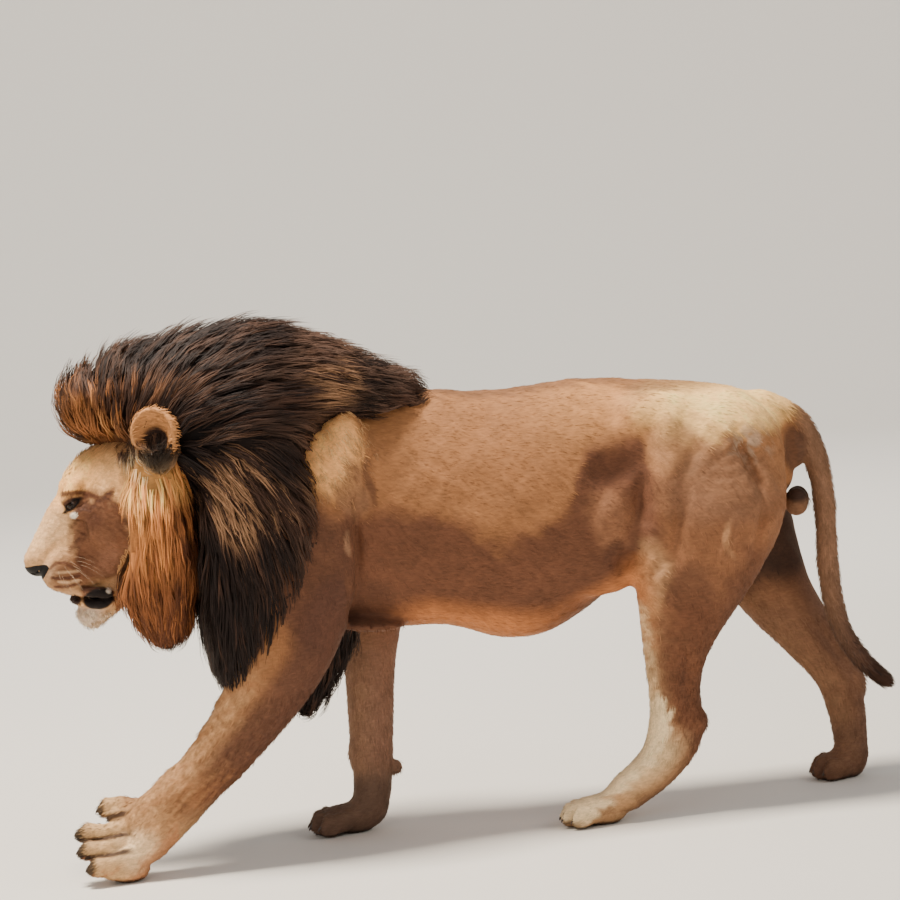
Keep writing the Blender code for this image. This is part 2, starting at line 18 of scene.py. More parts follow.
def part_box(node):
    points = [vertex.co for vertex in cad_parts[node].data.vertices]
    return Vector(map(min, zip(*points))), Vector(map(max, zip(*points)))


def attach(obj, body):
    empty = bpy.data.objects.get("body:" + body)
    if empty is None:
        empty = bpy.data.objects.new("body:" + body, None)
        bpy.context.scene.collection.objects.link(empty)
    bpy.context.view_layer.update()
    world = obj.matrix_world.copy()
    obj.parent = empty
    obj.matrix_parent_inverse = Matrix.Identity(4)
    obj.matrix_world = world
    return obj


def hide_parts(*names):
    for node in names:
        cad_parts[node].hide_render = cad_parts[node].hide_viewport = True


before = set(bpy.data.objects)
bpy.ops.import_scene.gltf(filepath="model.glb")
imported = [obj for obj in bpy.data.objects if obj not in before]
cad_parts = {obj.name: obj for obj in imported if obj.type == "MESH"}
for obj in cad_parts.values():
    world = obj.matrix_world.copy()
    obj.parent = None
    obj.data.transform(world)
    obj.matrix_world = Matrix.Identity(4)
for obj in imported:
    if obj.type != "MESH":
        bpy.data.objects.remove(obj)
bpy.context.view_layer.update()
EYE_IN_DESIGN = np.array((-0.904231, -0.053, 0.890006))  # the middle of the left eye
LOW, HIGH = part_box("eye_left")
SHIFT = (np.array(LOW) + np.array(HIGH)) / 2 - EYE_IN_DESIGN
RNG = np.random.default_rng(7)  # every piece draws from it, in order

# Driving dimensions
GRAIN = 0.006  # voxel of the skin
COAT = 0.007  # the skin lies this far inside the solids on the body
CAP = 0.05  # distances beyond this aren't kept
COARSE = 3  # voxels of the first, coarse grid are this many times larger
BATCH = 40000  # points measured at a time, for memory
TUBE_BLEND = 0.01  # how softly a tube turns from one stretch to the next
HEAD_AT = np.array((-0.8, 0.0, 0.9))
HEAD_PITCH = math.radians(34)
EYE_AT = (0.094, 0.052, 0.053)  # in the head's frame: forward, up, sideways
EYE_RADIUS = 0.019
MOUTH_AT, MOUTH_SLOPE = (0.215, -0.143), math.radians(39)  # in the head's frame
EAR_AT = (-0.709, 0.178, 1.046)
EAR_FACING = (-0.45, 0.85, 0.1)
EAR_RADII = (0.06, 0.063, 0.029)


# ---------------------------------------------------------------- distance forms

def unit(v):
    """Vectors of length 1 that point the same way."""
    return v / np.maximum(np.linalg.norm(v, axis=-1, keepdims=True), 1e-9)


def turn_y(degrees):
    """A rotation about Y whose columns are the turned axes."""
    c, s = math.cos(math.radians(degrees)), math.sin(math.radians(degrees))
    return np.array(((c, 0, s), (0, 1, 0), (-s, 0, c)))


def smooth_min(a, b, k):
    """The lower of two distances, blended over k where they are close."""
    h = np.clip(0.5 + 0.5 * (b - a) / k, 0, 1)
    return b + (a - b) * h - k * h * (1 - h)


def round_distance(q, radii):
    """Distance to an ellipsoid, near enough close to its surface."""
    k0 = np.sqrt(((q / radii) ** 2).sum(-1)) + 1e-5
    k1 = np.sqrt(((q / radii**2) ** 2).sum(-1)) + 1e-5
    return k0 * (k0 - 1) / k1


def ball(at, radii, turn=None):
    """An ellipsoid, with its axes turned by a matrix."""
    at, radii = np.array(at, float), np.array(radii, float) * np.ones(3)

    def distance(p):
        q = p - at
        return round_distance(q if turn is None else q @ turn, radii)

    return distance, at - radii.max(), at + radii.max()


def spline(stations, steps=4):
    """Rows between the stations, on a Catmull-Rom curve through them."""
    rows = np.array(stations, float)
    last = len(rows) - 1
    made = []
    for i in range(last):
        a, b, c, d = rows[max(i - 1, 0)], rows[i], rows[i + 1], rows[min(i + 2, last)]
        for t in np.arange(steps) / steps:
            made.append(0.5 * (2 * b + (c - a) * t + (2 * a - 5 * b + 4 * c - d) * t**2
                               + (3 * b - a - 3 * c + d) * t**3))
    return np.array(made + [rows[last]])


def tube(stations, egg=0.0, inset=0.0):
    """A tube through stations (x, y, z, half depth, half width), with domed ends."""
    rows = spline(stations)
    rows[:, 3:] -= inset
    start, run = rows[:-1, :3], rows[1:, :3] - rows[:-1, :3]
    span, begin = (run**2).sum(1), (start * run).sum(1)
    level = np.array((0.0, 1.0, 0.0))
    rows = np.hstack((rows, unit(np.gradient(rows[:, :3], axis=0))))

    def distance(p):
        shape = p.shape[:-1]
        p = p.reshape(-1, 3)
        made = np.empty(len(p))
        for first in range(0, len(p), BATCH):
            q = p[first:first + BATCH]
            along = q @ run.T - begin
            t = np.clip(along / span, 0, 1)
            gap = (q**2).sum(1)[:, None] - 2 * (q @ start.T) + (start**2).sum(1) + t * (t * span - 2 * along)
            gap = np.sqrt(np.maximum(gap, 0))
            weight = np.exp((gap.min(1, keepdims=True) - gap) / TUBE_BLEND)
            weight /= weight.sum(1, keepdims=True)
            row = (weight * (1 - t)) @ rows[:-1] + (weight * t) @ rows[1:]
            way = unit(row[:, 5:])
            across = unit(np.cross(way, level))
            off = q - row[:, :3]
            up, out = (off * across).sum(1), off[:, 1]
            lean = up / (row[:, 3] * (np.hypot(up / row[:, 3], out / row[:, 4]) + 1e-5))
            radii = np.stack((row[:, 3], row[:, 4] * (1 - egg * lean), row[:, 3:5].min(1)), 1)
            radii = np.maximum(radii, 0.002)
            local = np.stack((up, out, (off * way).sum(1)), 1)
            made[first:first + BATCH] = round_distance(local, radii)
        return made.reshape(shape)

    reach = rows[:, 3:5].max()
    return distance, rows[:, :3].min(0) - reach, rows[:, :3].max(0) + reach


def side_tube(rows, egg=0.0, inset=0.0):
    """A tube along X, from rows of x, top, bottom and half width, with level sections."""
    rows = spline(rows)
    xs = rows[:, 0]
    middle, depth = (rows[:, 1] + rows[:, 2]) / 2, (rows[:, 1] - rows[:, 2]) / 2 - inset
    width = rows[:, 3] - inset

    def distance(p):
        x = p[..., 0]
        deep, wide = np.interp(x, xs, depth), np.interp(x, xs, width)
        up = p[..., 2] - np.interp(x, xs, middle)
        lean = up / (deep * (np.hypot(up / deep, p[..., 1] / wide) + 1e-5))
        past = x - np.clip(x, xs[0], xs[-1])
        radii = np.stack((np.minimum(deep, wide), wide * (1 - egg * lean), deep), -1)
        return round_distance(np.stack((past, p[..., 1], up), -1), radii)

    reach = max(min(depth[0], width[0]), min(depth[-1], width[-1]))
    low = np.array((xs[0] - reach, -width.max() * (1 + egg), (middle - depth).min()))
    high = np.array((xs[-1] + reach, width.max() * (1 + egg), (middle + depth).max()))
    return distance, low, high


def mouth_point(u, v, side=0.0):
    """A point given along the mouth, forward, and across it, upward."""
    c, s = math.cos(MOUTH_SLOPE), math.sin(MOUTH_SLOPE)
    return head_point(MOUTH_AT[0] + c * u - s * v, MOUTH_AT[1] + s * u + c * v, side)


def head_point(a, b, side=0.0):
    """A place given forward, up and sideways in the head's frame."""
    c, s = math.cos(HEAD_PITCH), math.sin(HEAD_PITCH)
    return HEAD_AT + np.array((-c * a - s * b, side, -s * a + c * b))


HEAD_TURN = turn_y(-math.degrees(HEAD_PITCH))


class Form:
    """A solid made of forms that are added and cut one after another, with soft joins."""

    def __init__(self):
        self.steps = []

    def add(self, form, soft):
        """A form is its distance function and the lowest and highest corners of its box."""
        self.steps.append((form, soft, 1))

    def cut(self, form, soft):
        self.steps.append((form, soft, -1))

    def both(self, make, soft, cut=False):
        """Adds or cuts make(side) for both sides."""
        for side in (-1, 1):
            (self.cut if cut else self.add)(make(side), soft)

    def join(self, field, part, soft, sign):
        return smooth_min(field, part, soft) if sign > 0 else -smooth_min(-field, part, soft)

    def at(self, points):
        """Distances at many points, worked out in a few threads."""
        parts = np.array_split(points, max(1, len(points) // 20000))
        with ThreadPoolExecutor(4) as pool:
            return np.concatenate(list(pool.map(self.part_at, parts)))

    def part_at(self, points):
        made = np.full(len(points), CAP)
        for (distance, low, high), soft, sign in self.steps:
            edge = soft + 0.015
            close = ((points > low - edge) & (points < high + edge)).all(1)
            if close.any():
                made[close] = self.join(made[close], distance(points[close]), soft, sign)
        return made

    def slope(self, points):
        """Outward unit normals."""
        moves = np.eye(3) * 0.0012
        made = np.stack([self.at(points + move) - self.at(points - move) for move in moves], 1)
        return unit(made)

    def grid(self, low, high, grain):
        """Distances on a grid. Away from the surface they are those of a coarser grid."""
        sizes = [int((high[i] - low[i]) / grain / COARSE) + 1 for i in range(3)]
        coarse = np.stack(np.meshgrid(*[np.arange(n) for n in sizes], indexing="ij"), -1)
        rough = self.at(coarse.reshape(-1, 3) * (COARSE * grain) + low).reshape(sizes)
        field = rough.astype(np.float32)
        for axis in range(3):
            field = np.repeat(field, COARSE, axis)
        close = np.argwhere(np.abs(field) < (COARSE + 1) * grain)
        field[tuple(close.T)] = self.at((close - 1) * grain + low)
        return field, np.array(low) - grain

    def mesh(self, low, high, grain):
        """Points and quads of the surface."""
        field, origin = self.grid(low, high, grain)
        volume = openvdb.FloatGrid(CAP)
        volume.copyFromArray(np.clip(field, -CAP, CAP))
        points, quads = volume.convertToQuads(isovalue=0.0)
        points = points * grain + origin
        a, b, c = (points[quads[:, i]] for i in (0, 1, 2))
        if (a * np.cross(b, c)).sum() < 0:
            quads = quads[:, ::-1]
        return points, quads

    def settle(self, points, rounds=2):
        """Moves points on to the surface."""
        for _ in range(rounds):
            points = points - self.slope(points) * np.clip(self.at(points), -0.004, 0.004)[:, None]
        return points


# ---------------------------------------------------------------- the body

LEGS = {
    "fore_left": [(-0.4, -0.135, 0.79, 0.13, 0.08), (-0.41, -0.15, 0.64, 0.138, 0.08),
                  (-0.45, -0.158, 0.52, 0.125, 0.074), (-0.515, -0.16, 0.405, 0.098, 0.068),
                  (-0.6, -0.158, 0.3, 0.078, 0.061), (-0.69, -0.155, 0.212, 0.068, 0.056),
                  (-0.755, -0.153, 0.145, 0.062, 0.055), (-0.81, -0.15, 0.09, 0.056, 0.058)],
    "fore_right": [(-0.27, 0.14, 0.79, 0.12, 0.078), (-0.235, 0.15, 0.64, 0.118, 0.076),
                   (-0.222, 0.148, 0.52, 0.092, 0.068), (-0.228, 0.138, 0.41, 0.069, 0.06),
                   (-0.236, 0.125, 0.3, 0.062, 0.054), (-0.244, 0.118, 0.19, 0.057, 0.05),
                   (-0.248, 0.115, 0.11, 0.052, 0.052), (-0.262, 0.113, 0.055, 0.05, 0.055)],
    "hind_left": [(0.62, -0.09, 0.88, 0.18, 0.078), (0.605, -0.118, 0.76, 0.192, 0.086),
                  (0.567, -0.13, 0.64, 0.163, 0.08), (0.515, -0.132, 0.51, 0.123, 0.068),
                  (0.485, -0.128, 0.4, 0.084, 0.056), (0.476, -0.122, 0.3, 0.067, 0.046),
                  (0.474, -0.118, 0.205, 0.073, 0.041), (0.425, -0.116, 0.128, 0.06, 0.041),
                  (0.345, -0.116, 0.072, 0.052, 0.048)],
    "hind_right": [(0.64, 0.09, 0.86, 0.17, 0.078), (0.69, 0.118, 0.74, 0.16, 0.086),
                   (0.745, 0.128, 0.6, 0.128, 0.078), (0.8, 0.126, 0.48, 0.098, 0.064),
                   (0.868, 0.12, 0.37, 0.074, 0.052), (0.932, 0.115, 0.275, 0.064, 0.043),
                   (0.95, 0.112, 0.195, 0.055, 0.04), (0.957, 0.11, 0.115, 0.049, 0.04),
                   (0.957, 0.11, 0.055, 0.046, 0.044)],
}
# Each paw: heel, middle of the row of toes, step from toe to toe, how far the inner toe is
# rolled up, how far the toes point up, and their radii (length, width, height)
Paw = namedtuple("Paw", "heel row step roll pitch radii")
PAWS = {
    "fore_left": Paw((-0.862, -0.15, 0.034), (-0.938, -0.15, 0.099), 0.044, 52, 6, (0.042, 0.02, 0.026)),
    "fore_right": Paw((-0.3, 0.113, 0.03), (-0.37, 0.113, 0.032), 0.03, 0, -8, (0.045, 0.0165, 0.028)),
    "hind_left": Paw((0.285, -0.116, 0.03), (0.217, -0.116, 0.03), 0.028, 0, -8, (0.042, 0.0155, 0.026)),
    "hind_right": Paw((0.938, 0.11, 0.026), (0.892, 0.11, 0.03), 0.027, 0, -8, (0.042, 0.0155, 0.028)),
}
TOES = (-1.5, -0.5, 0.5, 1.5)  # places of the toes in their row, in steps from its middle, outer first
TOE_SPLAY = 5  # degrees between one toe and the next
TOE_ARC = 0.009  # how far the row curves back, times the square of the place
TRUNK = [(-0.46, 1.0, 0.6, 0.15), (-0.36, 1.06, 0.545, 0.178), (-0.22, 1.088, 0.51, 0.19),
         (-0.05, 1.084, 0.5, 0.196), (0.08, 1.067, 0.456, 0.206), (0.19, 1.069, 0.456, 0.205),
         (0.3, 1.075, 0.508, 0.19), (0.4, 1.068, 0.574, 0.17), (0.52, 1.054, 0.64, 0.164),
         (0.62, 1.039, 0.7, 0.16), (0.7, 1.02, 0.73, 0.14), (0.765, 0.996, 0.78, 0.07)]
TAIL = [(0.765, 0, 0.955, 0.048, 0.055), (0.82, 0, 0.932, 0.044, 0.046), (0.868, 0, 0.888, 0.036, 0.038),
        (0.899, 0, 0.805, 0.029, 0.031), (0.91, 0, 0.7, 0.027, 0.028), (0.907, 0, 0.58, 0.027, 0.027),
        (0.912, 0, 0.47, 0.026, 0.026), (0.934, 0, 0.378, 0.024, 0.024), (0.978, 0, 0.305, 0.023, 0.023),
        (1.03, 0, 0.252, 0.021, 0.021)]


def spin(axis, degrees):
    return np.array(Matrix.Rotation(math.radians(degrees), 3, axis))


def toe_frames(leg):
    """For each toe, outer first: its middle and its turn (X points forward)."""
    paw = PAWS[leg]
    inward = 1 if leg.endswith("left") else -1
    lean = spin("X", paw.roll * inward)
    frames = []
    for place in TOES:
        at = np.array(paw.row) + lean @ np.array((TOE_ARC * place * place, inward * place * paw.step, 0))
        forward = lean @ spin("Z", TOE_SPLAY * place * -inward) @ np.array((-1.0, 0, 0))
        forward[2] += math.sin(math.radians(paw.pitch))
        if paw.roll and place > 1:  # the highest toe of the lifted side lies back and points down
            at, forward = at + (0.036, 0, 0.019), forward - (0, 0, 0.28)
        forward = unit(forward)
        side = unit(np.cross((0.0, 0.0, 1.0), forward))
        frames.append((at, np.stack((forward, side, np.cross(forward, side)), 1)))
    return frames


def paw(form, leg):
    """A paw: heel, toes, each with its knuckle, tip and pad, and what joins them to the leg."""
    step, roll = PAWS[leg].step, PAWS[leg].roll
    long, wide, high = PAWS[leg].radii
    heel, row = np.array(PAWS[leg].heel), np.array(PAWS[leg].row)
    lean = spin("X", roll if leg.endswith("left") else -roll)
    girth, blunt, soft = (0.98, 0.5, 0.006) if roll else (1.2, 1.0, 0.01)
    form.add(ball(heel * 0.55 + row * 0.45 + (0, 0, 0.008), (0.056, step * 1.6, 0.031), lean), 0.02)
    form.add(ball((heel[0], heel[1], 0.024), (0.046, step * 1.15, 0.027)), 0.015)
    form.add(tube([(*LEGS[leg][-1][:3], 0.04, 0.042), (*(heel + (0, 0, 0.008)), 0.032, step * 1.2)]), 0.02)
    for at, turn in toe_frames(leg):
        ahead, up = turn[:, 0], turn[:, 2]
        root = heel * 0.65 + row * 0.35 + (at - row) * 0.35 + (0, 0, 0.012)
        if roll:
            root = row + (at - row) * (0.9, 0.75, 0.75) + (0.072, 0, 0.01)
        knuckle = at - ahead * 0.012
        form.add(tube([(*root, high * 0.9, wide * girth), (*knuckle, high * 0.75, wide * 0.9)]), soft)
        form.add(ball(at - ahead * 0.01 + up * 0.002, (long * 0.8, wide - 0.003, high - 0.004), turn), 0.006)
        form.add(ball(at + ahead * 0.014 + up * (0.001 + 0.004 * blunt),
                      (0.02, wide - 0.002, high * (0.8 + 0.14 * blunt)), turn), 0.005)
        form.add(ball(at + ahead * (0.031 - 0.003 * blunt) - up * 0.003,
                      (0.0115 + 0.002 * blunt, wide * 0.72, high * (0.55 + 0.17 * blunt)), turn), 0.005)
        form.add(ball(at + ahead * 0.012 - up * (high - 0.012), (0.02, wide * 0.72, 0.009), turn), 0.003)
    if roll:  # from the wrist to the spread toes, and a web between the highest two
        form.add(tube([(-0.745, -0.152, 0.185, 0.048, 0.046), (-0.79, -0.148, 0.148, 0.056, 0.042),
                       (-0.828, -0.144, 0.12, 0.05, 0.03)]), 0.014)
        form.add(ball((-0.856, -0.124, 0.146), (0.046, 0.018, 0.024), turn_y(12)), 0.01)
    else:
        form.add(ball((row[0] + 0.004, row[1], 0.012), (0.028, step * 1.5, 0.013)), 0.006)


def spot(form, a, b, s, radii, soft, cut=False, lean=0.0):
    """Adds or cuts a ball placed forward, up and sideways in the head's frame, on both sides."""
    turn = HEAD_TURN @ turn_y(lean)
    for side in (-1, 1) if s else (1,):
        made = ball(head_point(a, b, side * s), radii, turn)
        (form.cut if cut else form.add)(made, soft)


def skull(form):
    """Cranium, forehead and cheeks."""
    spot(form, -0.035, 0.022, 0, (0.138, 0.112, 0.098), 0.02)  # cranium
    spot(form, -0.015, -0.035, 0.05, (0.11, 0.06, 0.085), 0.03)  # jaw muscles
    spot(form, 0.012, 0.08, 0, (0.066, 0.062, 0.05), 0.02)  # forehead
    spot(form, 0.062, 0.072, 0, (0.054, 0.046, 0.045), 0.02)
    spot(form, 0.012, 0.082, 0.0, (0.08, 0.004, 0.062), 0.012, cut=True)  # furrow along the forehead
    spot(form, 0.036, -0.03, 0.078, (0.08, 0.042, 0.06), 0.045)  # cheekbones
    spot(form, 0.002, -0.09, 0.068, (0.094, 0.048, 0.074), 0.045)  # cheeks


def muzzle(form):
    """The upper jaw, the bridge of the nose, brows and whisker pads."""
    spot(form, 0.12, -0.028, 0, (0.11, 0.066, 0.074), 0.02)
    rows = [(0.06, 0.046, 0.05, 0.054), (0.124, 0.042, 0.045, 0.046), (0.175, 0.022, 0.042, 0.043),
            (0.229, 0.002, 0.038, 0.041), (0.254, -0.006, 0.034, 0.036)]
    form.add(tube([(*head_point(a, b), depth, width) for a, b, depth, width in rows]), 0.012)
    spot(form, 0.118, 0.04, 0.082, (0.036, 0.026, 0.028), 0.012, cut=True)  # eye sockets
    spot(form, 0.158, 0.0, 0.08, (0.05, 0.024, 0.03), 0.02, cut=True)  # hollow beside the bridge
    spot(form, 0.07, 0.079, 0.05, (0.048, 0.026, 0.021), 0.01, lean=-14)  # brow ridges
    spot(form, 0.076, 0.018, 0.084, (0.05, 0.016, 0.015), 0.012, lean=24)  # cheekbone under the eye
    spot(form, 0.205, -0.056, 0.031, (0.064, 0.04, 0.052), 0.012)  # whisker pads
    spot(form, 0.227, -0.066, 0.027, (0.034, 0.031, 0.037), 0.008)
    spot(form, 0.14, -0.066, 0.092, (0.012, 0.02, 0.06), 0.018, cut=True, lean=-30)  # fold behind the pads
    spot(form, 0.11, -0.1, 0.016, (0.076, 0.056, 0.056), 0.03)  # corners of the mouth
    spot(form, 0.17, -0.1, 0.02, (0.076, 0.034, 0.036), 0.015)  # upper lips


def lower_jaw(form):
    """The jaw and the chin."""
    rows = [(-0.02, -0.118, 0.062, 0.086), (0.08, -0.156, 0.05, 0.062), (0.16, -0.174, 0.044, 0.048),
            (0.214, -0.172, 0.04, 0.037)]
    form.add(tube([(*head_point(a, b), depth, width) for a, b, depth, width in rows]), 0.015)
    spot(form, 0.232, -0.18, 0, (0.033, 0.028, 0.034), 0.012)  # chin


def lips(form):
    """The slit of the mouth, and the lips along it."""
    mouth = HEAD_TURN @ turn_y(math.degrees(MOUTH_SLOPE))
    form.cut(ball(mouth_point(0.006, 0.0), (0.062, 0.08, 0.0042), mouth), 0.004)
    form.add(ball(mouth_point(-0.01, -0.004), (0.05, 0.035, 0.022), mouth), 0.004)
    for side in (-1, 1):
        lip = [(*mouth_point(u, v, side * out), size * 0.9, size) for u, v, out, size in
               ((-0.062, -0.004, 0.056, 0.008), (-0.044, -0.012, 0.051, 0.014),
                (-0.016, -0.013, 0.046, 0.013), (0.01, -0.01, 0.037, 0.009), (0.03, -0.007, 0.022, 0.008))]
        form.add(tube(lip), 0.005)
        lip = [(*mouth_point(u, v, side * out), size, size) for u, v, out, size in
               ((-0.058, 0.014, 0.062, 0.01), (-0.034, 0.016, 0.062, 0.012), (0.0, 0.018, 0.056, 0.012),
                (0.032, 0.018, 0.04, 0.011))]
        form.add(tube(lip), 0.01)


def head(form):
    """Skull and face, with the groove under the nose and the nostrils."""
    skull(form)
    muzzle(form)
    lower_jaw(form)
    lips(form)
    spot(form, 0.282, -0.066, 0, (0.02, 0.003, 0.03), 0.008, cut=True)
    spot(form, 0.275, -0.018, 0.017, (0.01, 0.0055, 0.0065), 0.003, cut=True)
    spot(form, 0.265, -0.02, 0.028, (0.012, 0.006, 0.0035), 0.003, cut=True)
    for side in (-1, 1):
        eye(form, side)
        ear(form, side)


def eye_frame(side):
    """The middle of an eye, and its axes: along the lids, across them, and out."""
    out = unit(HEAD_TURN @ np.array((-0.52, side * 0.84, 0.16)))
    slit = HEAD_TURN @ np.array((-1.0, side * -0.6, -0.02))
    slit = unit(slit - out * (slit @ out))
    return head_point(EYE_AT[0], EYE_AT[1], side * EYE_AT[2]), np.stack((slit, np.cross(out, slit), out), 1)


def eye(form, side):
    """Lids around the eye, with the opening that the eye shows through."""
    at, axes = eye_frame(side)
    half, high = 0.0185, 0.0068
    bend = (half**2 + high**2) / (2 * high)

    def opening(p):
        q = (p - at) @ axes
        one = np.hypot(q[..., 0], q[..., 1] + bend - high) - bend
        two = np.hypot(q[..., 0], q[..., 1] - bend + high) - bend
        return np.maximum(np.maximum(one, two), -q[..., 2])

    form.add(ball(at, EYE_RADIUS + 0.0035), 0.01)
    form.cut((opening, at - 0.03, at + 0.03), 0.002)


def ear_axes(side):
    """The middle of an ear, and its axes: across it, up it, and out of its cup."""
    out = unit(np.array((EAR_FACING[0], side * EAR_FACING[1], EAR_FACING[2])))
    wide = unit(np.cross((0.0, 0.0, 1.0), out))
    return np.array((EAR_AT[0], side * EAR_AT[1], EAR_AT[2])), np.stack((wide, np.cross(out, wide), out), 1)


def ear(form, side):
    """A round ear with a hollow cup."""
    at, axes = ear_axes(side)
    radii = np.array(EAR_RADII)
    form.add(ball(at - axes[:, 1] * 0.03 - axes[:, 2] * 0.03, (0.045, 0.05, 0.04), axes), 0.02)
    form.add(ball(at, radii, axes), 0.012)
    form.cut(ball(at + axes[:, 2] * 0.017, radii - (0.011, 0.011, 0.006), axes), 0.006)
    form.cut(ball(at - axes[:, 1] * 0.022 + axes[:, 2] * 0.004, (0.03, 0.034, 0.022), axes), 0.01)


def neck_and_trunk(form):
    """Neck, breast, and the trunk with its rear end."""
    form.add(tube([(-0.7, 0, 0.935, 0.105, 0.095), (-0.62, 0, 0.9, 0.125, 0.11),
                   (-0.52, 0, 0.88, 0.15, 0.135), (-0.42, 0, 0.85, 0.19, 0.15)]), 0.05)  # neck
    form.add(ball((-0.5, 0, 0.72), (0.11, 0.145, 0.15)), 0.05)  # breast
    form.add(side_tube(TRUNK, 0.14, COAT), 0.05)
    form.add(ball((0.794, 0, 0.8), (0.042, 0.04, 0.062)), 0.03)


def shoulders_and_hips(form):
    """Shoulder blades and the hollow behind them, hips, rump and the fronts of the haunches."""
    form.both(lambda s: ball((-0.3, s * 0.105, 0.87), (0.105, 0.078, 0.15)), 0.06)
    # Shoulder blades
    form.both(lambda s: ball((-0.284, s * 0.138, 0.905), (0.05, 0.052, 0.15), turn_y(12)), 0.045)
    form.both(lambda s: ball((-0.214, s * 0.218, 0.87), (0.018, 0.032, 0.12), turn_y(8)), 0.035, cut=True)
    form.both(lambda s: ball((0.49, s * 0.095, 0.975), (0.075, 0.045, 0.046)), 0.06)  # hip
    form.both(lambda s: ball((0.655, s * 0.09, 0.885), (0.13, 0.073, 0.11)), 0.06)  # rump
    form.both(lambda s: tube([(0.51, s * 0.118, 0.945, 0.034, 0.04), (0.5, s * 0.138, 0.83, 0.044, 0.046),
                              (0.468, s * 0.146, 0.72, 0.042, 0.044), (0.44, s * 0.146, 0.62, 0.036, 0.04)]),
              0.025)  # front of the haunch


def flanks(form):
    """The hollows of the flank, the paunch, and the folds of skin before the thighs."""
    form.both(lambda s: ball((0.375, s * 0.206, 0.862), (0.088, 0.062, 0.058), turn_y(-8)), 0.018, cut=True)
    form.both(lambda s: ball((0.424, s * 0.206, 0.77), (0.024, 0.06, 0.09), turn_y(10)), 0.016, cut=True)
    form.both(lambda s: ball((0.33, s * 0.135, 0.65), (0.1, 0.04, 0.09)), 0.05)  # paunch
    form.both(lambda s: ball((0.343, s * 0.15, 0.735), (0.052, 0.046, 0.074), turn_y(10)), 0.012)
    form.both(lambda s: ball((0.38, s * 0.2, 0.632), (0.042, 0.058, 0.03), turn_y(-30)), 0.018, cut=True)
    # Behind the elbow
    form.both(lambda s: ball((-0.24, s * 0.218, 0.575), (0.038, 0.05, 0.034), turn_y(-20)), 0.018, cut=True)
    form.add(ball((0.44, -0.1, 0.645), (0.073, 0.054, 0.09)), 0.04)
    form.add(ball((0.56, 0.095, 0.645), (0.1, 0.048, 0.075)), 0.04)


def upper_arms(form):
    """The muscles above the elbows, and the skin behind them."""
    form.add(ball((-0.34, -0.162, 0.74), (0.062, 0.05, 0.17), turn_y(6)), 0.012)  # triceps
    form.cut(ball((-0.262, -0.214, 0.69), (0.015, 0.044, 0.19), turn_y(3)), 0.012)
    form.add(ball((-0.24, -0.095, 0.538), (0.08, 0.06, 0.016), turn_y(6)), 0.025)  # skin at the elbow
    form.add(tube([(-0.304, -0.2, 0.8, 0.018, 0.01), (-0.292, -0.199, 0.73, 0.018, 0.012),
                   (-0.3, -0.188, 0.62, 0.018, 0.012)]), 0.03)
    form.add(ball((-0.175, 0.158, 0.7), (0.06, 0.05, 0.13), turn_y(-8)), 0.02)


def forearms(form):
    """Forearms, wrists and wrist pads."""
    form.add(ball((-0.478, -0.172, 0.49), (0.06, 0.056, 0.12), turn_y(38)), 0.02)
    form.add(ball((-0.232, 0.158, 0.5), (0.058, 0.055, 0.11)), 0.02)
    form.add(ball((-0.745, -0.152, 0.16), (0.05, 0.051, 0.046), turn_y(40)), 0.015)  # wrists
    form.add(ball((-0.736, -0.152, 0.203), (0.046, 0.044, 0.066), turn_y(45)), 0.018)
    form.add(ball((-0.25, 0.116, 0.19), (0.05, 0.047, 0.046)), 0.015)
    form.add(ball((-0.188, 0.112, 0.15), (0.015, 0.014, 0.018)), 0.012)  # wrist pads
    form.add(ball((-0.706, -0.158, 0.138), (0.014, 0.014, 0.014)), 0.012)


def thighs(form):
    """The thighs, with their furrows and folds."""
    form.add(ball((0.64, -0.145, 0.72), (0.115, 0.066, 0.14), turn_y(20)), 0.025)
    form.cut(ball((0.508, -0.216, 0.715), (0.014, 0.032, 0.11), turn_y(16)), 0.02)
    form.cut(ball((0.706, -0.212, 0.69), (0.011, 0.03, 0.11), turn_y(16)), 0.016)
    form.add(tube([(0.648, -0.202, 0.725, 0.01, 0.012), (0.622, -0.205, 0.675, 0.014, 0.014),
                   (0.598, -0.198, 0.62, 0.01, 0.012)]), 0.01)
    form.both(lambda s: ball((0.56, s * 0.212, 0.88), (0.014, 0.04, 0.075), turn_y(35)), 0.025, cut=True)
    form.both(lambda s: ball((0.69, s * 0.19, 0.85), (0.014, 0.04, 0.09), turn_y(-20)), 0.025, cut=True)
    form.cut(ball((0.585, 0.212, 0.735), (0.014, 0.032, 0.12), turn_y(-8)), 0.02)
    form.add(ball((0.7, 0.14, 0.73), (0.11, 0.064, 0.12), turn_y(-10)), 0.03)


def shanks(form):
    """Knees, calves, the hollows beside the tendons, and hocks."""
    form.add(ball((0.455, -0.152, 0.56), (0.05, 0.048, 0.07)), 0.02)  # knees
    form.add(ball((0.715, 0.15, 0.54), (0.05, 0.048, 0.07), turn_y(-25)), 0.02)
    form.add(ball((0.516, -0.138, 0.45), (0.036, 0.042, 0.1), turn_y(12)), 0.03)  # calves
    form.add(ball((0.85, 0.128, 0.43), (0.044, 0.042, 0.1), turn_y(-35)), 0.04)
    for at, lean in (((0.508, -0.122, 0.315), 0), ((0.935, 0.117, 0.33), -35)):
        for side in (-1, 1):
            form.cut(ball(np.array(at) + (0, side * 0.056, 0), (0.012, 0.018, 0.075), turn_y(lean)), 0.03)
    form.add(ball((0.527, -0.12, 0.224), (0.025, 0.025, 0.03)), 0.012)  # hocks
    form.add(ball((0.985, 0.113, 0.235), (0.022, 0.026, 0.034)), 0.015)


